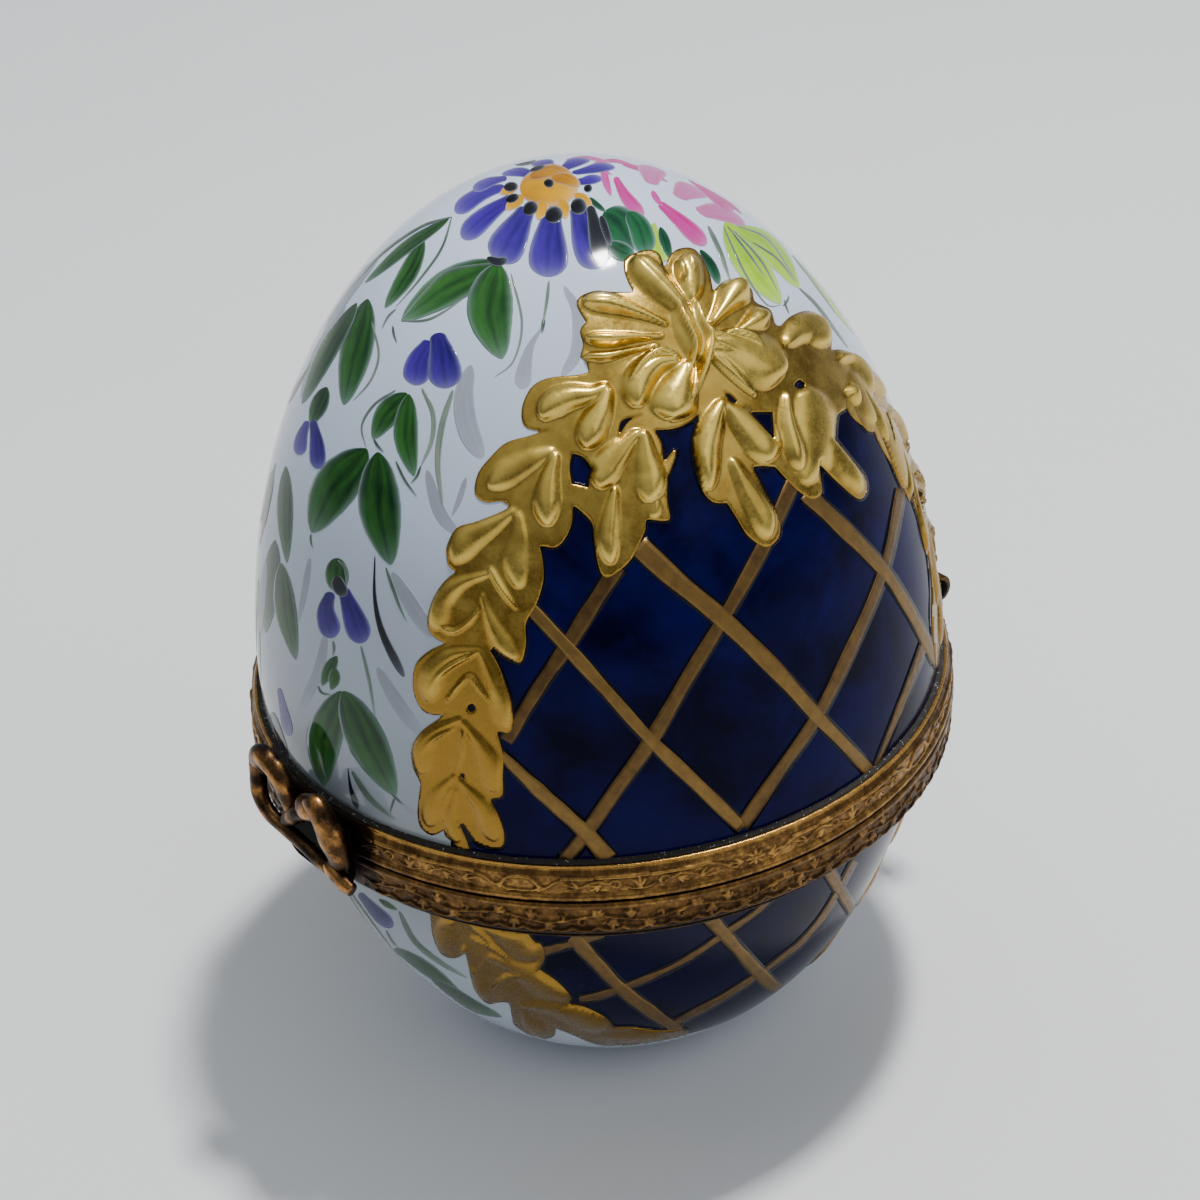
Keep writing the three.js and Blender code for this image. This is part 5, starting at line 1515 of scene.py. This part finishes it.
def spread_out(values, rows, columns):
    """Mean of an array over a window of rows each way, held at its ends, and of columns each way,
    round the ring."""
    mean = sum(np.roll(values, k, 1) for k in range(-columns, columns + 1)) / (2 * columns + 1)
    padded = np.pad(mean, ((rows, rows), (0, 0)), "edge")
    return sum(padded[k:k + len(values)] for k in range(2 * rows + 1)) / (2 * rows + 1)


def chased_band(rows, inside, relief, flats):
    """A strip turned about the axis: rows (radius, z) up its face, with relief(s, z) added to the
    radius at s millimetres round, then inside back down. Soot and painted shade lie beside the
    ornament, where the relief is lower than its mean nearby; the lid strip's top edge has a painted
    highlight, and the band behind the clasp a painted shadow. flats are (half width, least y) filed
    faces at the front, and the back is filed at the hinge."""
    rows, inside = np.asarray(rows, float), np.asarray(inside, float)
    angle = np.linspace(0, 2 * math.pi, BAND_COLUMNS, endpoint=False)
    round_by = (np.degrees(angle) - CARTOUCHE_AZIMUTH) / 360 * GIRTH
    plain = np.minimum(np.abs(np.cos(angle)) / 0.19, 1) ** 6  # no ornament under hinge and clasp
    height = relief(round_by[None, :], rows[:, 1:]) * plain[None, :]
    rubbed = np.sin(1.9 * round_by) * np.sin(3.7 * round_by + 3.0 * rows[:, 1:])
    height *= 0.80 + 0.20 * rubbed
    worn = gritty(height.shape, 6, 3)
    radius = rows[:, :1] + 0.17 * height + 0.030 * worn
    radius = np.vstack([radius, np.repeat(inside[:, :1], BAND_COLUMNS, 1)])
    z = np.repeat(np.concatenate([rows[:, 1], inside[:, 1]])[:, None], BAND_COLUMNS, 1)
    x, y = radius * np.cos(angle), radius * np.sin(angle)
    y = np.minimum(y, HINGE_FLAT_Y)
    half, least = flats
    y = np.where(np.abs(x) < half, np.maximum(y, least), y)
    lift = np.clip((rows[:, :1] - rows[:, 0].min()) / np.ptp(rows[:, 0]), 0, 1)
    # soot and painted shade beside the ornament
    soot_and_painted_shade = np.clip(1.3 * spread_out(height, 4, 4) - height, 0, 1)
    bead = rows[:, 1:] > 27.58  # painted highlight along the lid strip's top edge
    face = 0.38 + 0.16 * lift + 0.22 * height - 0.50 * soot_and_painted_shade + 0.22 * worn + 0.45 * bead
    tone = np.vstack([face, np.full((len(inside), BAND_COLUMNS), 0.3)])
    painted_shadow_behind_clasp = np.clip((6.4 - np.abs(x + 0.9)) / 1.0, 0, 1) * (y < 0)
    tone -= 0.9 * painted_shadow_behind_clasp  # black: painted shadow behind the clasp
    return loft(np.stack([x, y, z], -1), wrap=True, tone=tone)


def lid_relief(s, z):
    v = z - 25.86
    turn_place = s / (GIRTH / CARTOUCHES)
    nearest = np.round(turn_place)
    from_mark = (turn_place - nearest) * GIRTH / CARTOUCHES
    from_panel = (turn_place - np.floor(turn_place) - 0.5) * GIRTH / CARTOUCHES
    marks = np.where(nearest % 2 == 0, capsules(from_mark, v, cartouche), capsules(from_mark, v, rosette))
    return np.maximum(marks, capsules(from_panel, v, panel_marks)) * (v > -0.12) * (v < 1.42)


def bowl_relief(s, z):
    v = z - 22.75
    place = s / VINE_PITCH
    return capsules((place - np.round(place)) * VINE_PITCH, v, vine_marks) * (v > -0.10) * (v < 1.80)


def half_round(z0, z1, foot, crown, steps):
    """Rows of a bead: half a circle squashed to (crown - foot) by (z1 - z0)."""
    a = np.linspace(0, math.pi, steps)
    return np.stack([foot + (crown - foot) * np.sin(a), z0 + (z1 - z0) * (1 - np.cos(a)) / 2], 1)


lid_rows = np.vstack([
    [(24.10, 25.265)], half_round(25.28, 25.82, 24.22, 24.44, 9),
    np.stack([24.21 + 0.03 * np.sin(np.linspace(0, math.pi, 30)), np.linspace(25.85, 27.26, 30)], 1),
    [(24.16, 27.30), (24.10, 27.42), (24.03, 27.54), (23.97, 27.60)],
    half_round(27.61, 27.79, 23.90, 24.00, 5)])
bowl_rows = np.vstack([
    half_round(21.41, 21.62, 22.98, 23.16, 5),
    [(23.16, 21.66), (23.34, 21.86), (23.56, 22.06), (23.80, 22.26), (23.98, 22.42), (24.10, 22.56)],
    np.stack([24.17 + 0.05 * np.sin(np.linspace(0, math.pi, 31)), np.linspace(22.66, 24.52, 31)], 1),
    half_round(24.56, 25.12, 24.22, 24.44, 9), [(24.10, 25.135)]])
lid_strip = chased_band(lid_rows, [(23.55, 27.79), (23.50, 27.7), (23.50, 25.265)], lid_relief,
                        (CLASP_FLAT_HALF, CLASP_FLAT_Y))
make_piece("lid_brass_band", [lid_strip], "lid", chased_brass, ["lid_band"])
bowl_strip = chased_band(bowl_rows, [(23.1, 25.135), (23.05, 25.0), (22.95, 21.5)], bowl_relief,
                         (CLASP_FLAT_HALF, CATCH_FLAT_Y))
make_piece("bowl_brass_band", [bowl_strip], "bowl", chased_brass, ["base_band"])


def cement_ring(profile, seed):
    """A ring of rough filling: each point of the profile moved by smoothed random amounts."""
    grit = gritty((len(profile), 720), 2, seed)
    return turn(profile, 720, relief=lambda r, z, a: (r + 0.05 * grit * (r > 23.46), z + 0.05 * grit),
                ring=True)


lid_filling = [(23.2, 25.8), (23.45, 25.8), (23.45, 27.62), (23.74, 27.74), (23.79, 27.81), (23.74, 27.88),
               (23.66, 27.93), (23.58, 27.98), (23.50, 28.03), (23.42, 28.06), (23.36, 28.0), (23.2, 27.80)]
bowl_filling = [(22.98, 24.5), (22.93, 24.4), (22.42, 21.5), (22.55, 21.3), (22.62, 21.12), (22.72, 21.08),
                (22.82, 21.16), (22.92, 21.26), (22.99, 21.36), (23.0, 21.46), (22.9, 21.6), (23.0, 24.3)]
make_piece("lid_cement", [cement_ring(lid_filling, 11)], "lid", cement, ["lid_bedding"])
make_piece("bowl_cement", [cement_ring(bowl_filling, 12)], "bowl", cement, ["base_bedding"])


# Plates over the porcelain rims, turned in over the bore
def rim_plate(face, away):
    """Ring of an L section with eased edges: face is its z at the joint, away is +1 for the lid."""
    section = [(23.10, 0.0), (23.13, 0.03), (23.13, 0.40), (23.08, 0.44), (21.10, 0.44), (21.05, 0.50),
               (21.05, 1.38), (21.0, 1.44), (20.72, 1.44), (20.66, 1.38), (20.66, 0.14), (20.70, 0.05),
               (20.80, 0.0)]
    return turn([(r, face + away * h) for r, h in section], 320, ring=True)


make_piece("lid_rim_plate", [rim_plate(25.255, 1)], "lid", plain_brass, ["lid_rim_ring"])
make_piece("bowl_rim_plate", [rim_plate(25.145, -1)], "bowl", plain_brass, ["base_rim_ring"])


# Hinge
def knuckle(start, length, side, near, far, around=72):
    """A tube along X with a web to the filed flat. Its outline in (y, z) is a circle whose points
    within the web's angles are pushed out to the web's two edges."""
    radius, flat, bore = 1.13, -1.28, 0.5
    first = math.pi - math.asin(near / radius)
    last = math.pi / 3 + 2 * math.pi
    sweep_angle = np.linspace(first, last, around - 9)
    circle = np.stack([radius * np.cos(sweep_angle), radius * np.sin(sweep_angle)], 1)
    top = circle[-1]
    t = np.linspace(0, 1, 5)[1:-1, None]
    swell = 0.16 * np.sin(math.pi * t) * np.array([[-0.5, -0.8]])
    bow_out = top + t * (np.array([flat + 0.12, far]) - top) + swell
    web = np.vstack([bow_out, [(flat + 0.06, far - 0.02), (flat, far - 0.08), (flat, (near + far) / 2),
                               (flat, near + 0.05), (flat + 0.05, near)],
                     [((flat + circle[0, 0]) / 2, near)]])
    outline = np.vstack([circle, web])
    angle = np.arctan2(outline[:, 1], outline[:, 0])
    angle[len(circle):] = np.minimum(angle[len(circle):], first)
    hole = bore * np.stack([np.cos(angle), np.sin(angle)], 1)
    outline[:, 1] *= side
    hole[:, 1] *= side
    eased = outline * (1 - 0.05 / np.linalg.norm(outline, axis=1))[:, None]
    rows = [(eased, 0.0), (outline, 0.06), (outline, length - 0.06), (eased, length), (hole, length),
            (hole, 0.0)]
    y, z = HINGE_AXIS
    loops = np.stack([np.stack([np.full(len(o), start + x), y + o[:, 0], z + o[:, 1]], -1) for o, x in rows])
    return loft(loops, wrap=True, tone=0.4)


for number in range(KNUCKLES):
    on_bowl = number % 2 == 0
    shape = (-1, 0.3, 1.68) if on_bowl else (1, 0.7, 2.2)
    body = "bowl" if on_bowl else "lid"
    node = f"{'base' if on_bowl else 'lid'}_knuckle_{number + 1}"
    tube = knuckle(BARREL_START + KNUCKLE_PITCH * number, KNUCKLE_LENGTH, *shape)
    make_piece(f"{body}_hinge_tube_{number + 1}", [tube], body, chased_brass, [node])


def hinge_wire():
    """Pin with two domed heads, turned about Z and laid along X."""
    a = np.linspace(math.pi / 2, 0, 7)
    head = np.stack([0.74 * np.cos(a), 8.33 + 0.27 * np.sin(a)], 1)
    half = np.vstack([[(0, 8.6)], head, [(0.72, 8.31), (0.42, 8.305)]])
    profile = np.vstack([half, (half * [1, -1])[::-1]])
    pin = turn(profile, 48, tone=0.3)
    points = pin["points"][:, [2, 1, 0]] + [0, HINGE_AXIS[0], HINGE_AXIS[1]]
    return moved_skin(pin, points)


make_piece("hinge_wire", [hinge_wire()], "bowl", dark_brass, ["hinge_pin"])


# Clasp: a cast ribbon bow on a spring tongue, and the stud that the tongue's eye snaps over
def bow_line(points):
    """(x, z above the joint, forward) to the frame, on the bow's middle plane."""
    p = np.asarray(points, float)
    return np.stack([p[:, 0], -25.42 - p[:, 2], JOINT_Z + p[:, 1]], 1)


FACING = (0, -1, 0)
BOW_FRONT_Y = -26.48  # the casting is flat where it would stand further forward than this
LEFT_LOOP = [(-1.2, 1.7, -0.1), (-1.4, 2.9, 0), (-1.75, 4.1, 0.1), (-2.7, 4.85, 0.15), (-3.8, 4.9, 0.1),
             (-4.5, 4.1, 0), (-4.6, 3.2, -0.1)]
LOWER_RIBBON = [(-4.6, 3.9, 0), (-4.7, 2.6, 0.1), (-4.5, 1.5, 0.3), (-3.7, 0.6, 0.35), (-2.4, 0.15, 0.35),
                (-0.9, 0.05, 0.35), (0.6, -0.1, 0.35), (2.0, -0.45, 0.3), (3.3, -0.75, 0.2)]
RIGHT_LOOP = [(1.3, 3.6, 0.1), (2.2, 3.95, 0.15), (2.9, 3.3, 0.15), (3.4, 2.4, 0.15), (3.8, 1.5, 0.1),
              (3.85, 0.6, 0), (3.3, -0.1, 0)]
FOLD = [(0.9, 2.7, 0), (-0.3, 2.1, 0.1), (-1.1, 1.4, 0.1), (-1.9, 0.5, 0.1)]
TAIL = [(2.8, -0.25, 0.2), (3.6, -0.6, 0.3), (4.5, -0.85, 0.3), (5.3, -1.05, 0.25)]
KNOT = [(0.45, 2.8, 0.05), (1.0, 3.25, 0.12), (1.7, 3.6, 0.12), (2.3, 3.75, 0.05)]


def ribbon(points, width, depth):
    return sweep(bow_line(points), width, depth, FACING, around=28, steps=70)


def rough_cast(skin, amount, seed, rubbed=0.0):
    """Moves each point by a few random smooth waves, as on a small casting, and paints light into its
    tone: lighter at its front, painted shade towards the back against the tongue, and the painted
    glint that rubbed adds."""
    waves = np.random.default_rng(seed)
    p = skin["points"]
    shift = np.zeros(len(p))
    for _ in range(9):
        direction = waves.normal(size=3)
        direction *= waves.uniform(2.0, 7.0) / np.linalg.norm(direction)
        shift += np.sin(p @ direction + waves.uniform(0, 6.28))
    middle = p.mean(0)
    away = p - middle
    away /= np.linalg.norm(away, axis=1)[:, None] + 1e-9
    # painted light: the front is lighter, the back towards the tongue darker
    front = np.clip((-24.9 - p[:, 1]) / 1.6, 0, 1)
    moved = p + away * (amount * shift / 9)[:, None]
    moved[:, 1] = np.maximum(moved[:, 1], BOW_FRONT_Y)
    skin["points"] = moved
    # rubbed adds painted glints
    skin["tone"] = np.clip(0.14 + 0.42 * front + 0.08 * shift + rubbed, 0, 1)
    return skin


bow = [
    ribbon(LEFT_LOOP, [0.60, 0.72, 0.80, 0.85, 0.85, 0.75, 0.6], [0.55, 0.65, 0.70, 0.72, 0.70, 0.62, 0.5]),
    ribbon(LOWER_RIBBON, [0.60, 0.60, 0.58, 0.55, 0.50, 0.48, 0.48, 0.50, 0.50],
           [0.60, 0.60, 0.55, 0.50, 0.48, 0.48, 0.48, 0.48, 0.45]),
    ribbon(RIGHT_LOOP, [0.70, 0.88, 0.95, 1.02, 1.00, 0.88, 0.60],
           [0.62, 0.74, 0.80, 0.82, 0.80, 0.70, 0.50]),
    ribbon(FOLD, [0.50, 0.62, 0.66, 0.50], [0.50, 0.60, 0.60, 0.48]),
    ribbon(TAIL, [0.50, 0.62, 0.66, 0.52], [0.45, 0.52, 0.52, 0.40]),
    ribbon(KNOT, [0.70, 0.95, 0.95, 0.70], [0.60, 0.78, 0.78, 0.60]),
]
for x, z in ((1.3, 3.2), (-1.4, 0.9)):
    post = turn([(0, 0), (0.6, 0), (0.5, 0.25), (0.45, 0.75), (0, 0.75)], 24)
    bow.append(moved_skin(post, post["points"][:, [0, 2, 1]] * [1, -1, 1] + [x, -24.8, JOINT_Z + z]))
# painted glints: the orange glint on the tail, and lighter spots on the right loop and the knot
PAINTED_GLINTS = (0, 0, 0.04, 0, 0.30, 0.10, 0, 0)
cast_bow = [rough_cast(skin, 0.10, 20 + k, PAINTED_GLINTS[k]) for k, skin in enumerate(bow)]
make_piece("clasp_ribbon_bow", cast_bow, "lid", bow_brass, ["clasp_bow"])


def stud():
    a = np.linspace(0, math.pi / 2, 9)
    profile = np.vstack([[(0, 0)], [(0.6, 0.0)], np.stack([0.6 * np.cos(a), 0.03 + 0.16 * np.sin(a)], 1)])
    turned = turn(np.vstack([profile, [(0, 0.19)]]), 40, tone=0.6)
    return moved_skin(turned, turned["points"][:, [0, 2, 1]] * [1, -1, 1] + [0, -23.9, JOINT_Z - 1.7])


make_piece("catch_boss", [stud()], "bowl", plain_brass, ["catch_stud"])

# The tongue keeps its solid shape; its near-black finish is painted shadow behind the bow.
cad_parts["clasp_tongue"].data.materials.clear()
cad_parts["clasp_tongue"].data.materials.append(dark_brass)


# Floor, light and camera

def floor_finish():
    f = Finish("pale_floor", Roughness=0.85)
    f.colour(f.blend(f.noise(40.0, 2.0), (0.68, 0.68, 0.68), (0.71, 0.71, 0.71)))
    return f.material


def add_floor():
    """A flat square whose far half rises in a wide quarter turn to a backdrop."""
    reach, bend, steps = 700.0, 260.0, 24
    angle = np.linspace(0, math.pi / 2, steps)
    run = np.concatenate([[-reach, 0.0], reach * 0.6 + bend * np.sin(angle)])
    rise = np.concatenate([[0.0, 0.0], bend * (1 - np.cos(angle))])
    run, rise = np.append(run, run[-1]), np.append(rise, rise[-1] + 500.0)
    back = np.array([CAMERA_DEPTH[0], CAMERA_DEPTH[1], 0])
    back /= np.linalg.norm(back)
    side = np.array([-back[1], back[0], 0])
    across = np.array([-1500.0, 1500.0])
    line = run[:, None, None] * back + rise[:, None, None] * np.array([0, 0, 1.0])
    grid = line + across[None, :, None] * side
    index = np.arange(grid.shape[0] * 2).reshape(-1, 2)
    quads = np.stack([index[:-1, 0], index[1:, 0], index[1:, 1], index[:-1, 1]], -1)[:, ::-1]
    mesh = bpy.data.meshes.new("pale_floor")
    mesh.from_pydata((grid.reshape(-1, 3) * MM).tolist(), [], quads.tolist())
    mesh.polygons.foreach_set("use_smooth", np.ones(len(quads), bool))
    mesh.materials.append(floor_finish())
    floor = bpy.data.objects.new("pale_floor", mesh)
    bpy.context.scene.collection.objects.link(floor)


def add_light(name, place, size, power):
    """Square area light at place (mm), facing the middle of the egg."""
    light = bpy.data.lights.new(name, "AREA")
    light.shape = "SQUARE"
    light.size = size * MM
    light.energy = power
    lamp = bpy.data.objects.new(name, light)
    bpy.context.scene.collection.objects.link(lamp)
    place = Vector(place)
    lamp.location = place * MM
    lamp.rotation_euler = (Vector((0, 0, 34)) - place).to_track_quat("-Z", "Y").to_euler()


def from_camera(right, up, back):
    """A place named by how far it is right, up and towards the camera from the middle of the egg."""
    return np.array([0, 0, 34.0]) + right * CAMERA_RIGHT + up * CAMERA_UP - back * CAMERA_DEPTH


add_floor()
add_light("small_key", from_camera(58, 381, 187), 44, 2.5)
add_light("room_light", from_camera(360, 140, 400), 420, 0.40)


def add_sky(horizon, zenith, colour):
    """A room whose ceiling is bright and whose walls are dim: radiance rises as a smooth step with
    the upward part of the direction."""
    world = bpy.data.worlds.new("pale_room")
    world.use_nodes = True
    tree = world.node_tree
    background = next(n for n in tree.nodes if n.type == "BACKGROUND")
    way = tree.nodes.new("ShaderNodeTexCoord").outputs["Generated"]
    parts = tree.nodes.new("ShaderNodeSeparateXYZ")
    tree.links.new(way, parts.inputs[0])
    step = tree.nodes.new("ShaderNodeMapRange")
    step.interpolation_type = "SMOOTHSTEP"
    tree.links.new(parts.outputs[2], step.inputs["Value"])
    for key, value in (("From Min", 0.05), ("From Max", 0.95), ("To Min", horizon), ("To Max", zenith)):
        step.inputs[key].default_value = value
    tree.links.new(step.outputs[0], background.inputs["Strength"])
    background.inputs["Color"].default_value = (*colour, 1)
    bpy.context.scene.world = world


add_sky(0.19, 0.83, (0.88, 0.94, 1.0))

camera_data = bpy.data.cameras.new("photo_view")
camera_data.sensor_fit = "HORIZONTAL"
camera_data.sensor_width = 36.0
camera_data.lens = PHOTO_FOCAL * 36.0 / PHOTO_SIZE
camera_data.clip_start = 0.01
camera_data.clip_end = 10.0
camera = bpy.data.objects.new("photo_view", camera_data)
bpy.context.scene.collection.objects.link(camera)
camera.matrix_world = Matrix([[*row, place * MM] for row, place in
                              zip(np.stack([CAMERA_RIGHT, CAMERA_UP, -CAMERA_DEPTH], 1), CAMERA_PLACE)]
                             + [[0, 0, 0, 1]])
bpy.context.scene.camera = camera
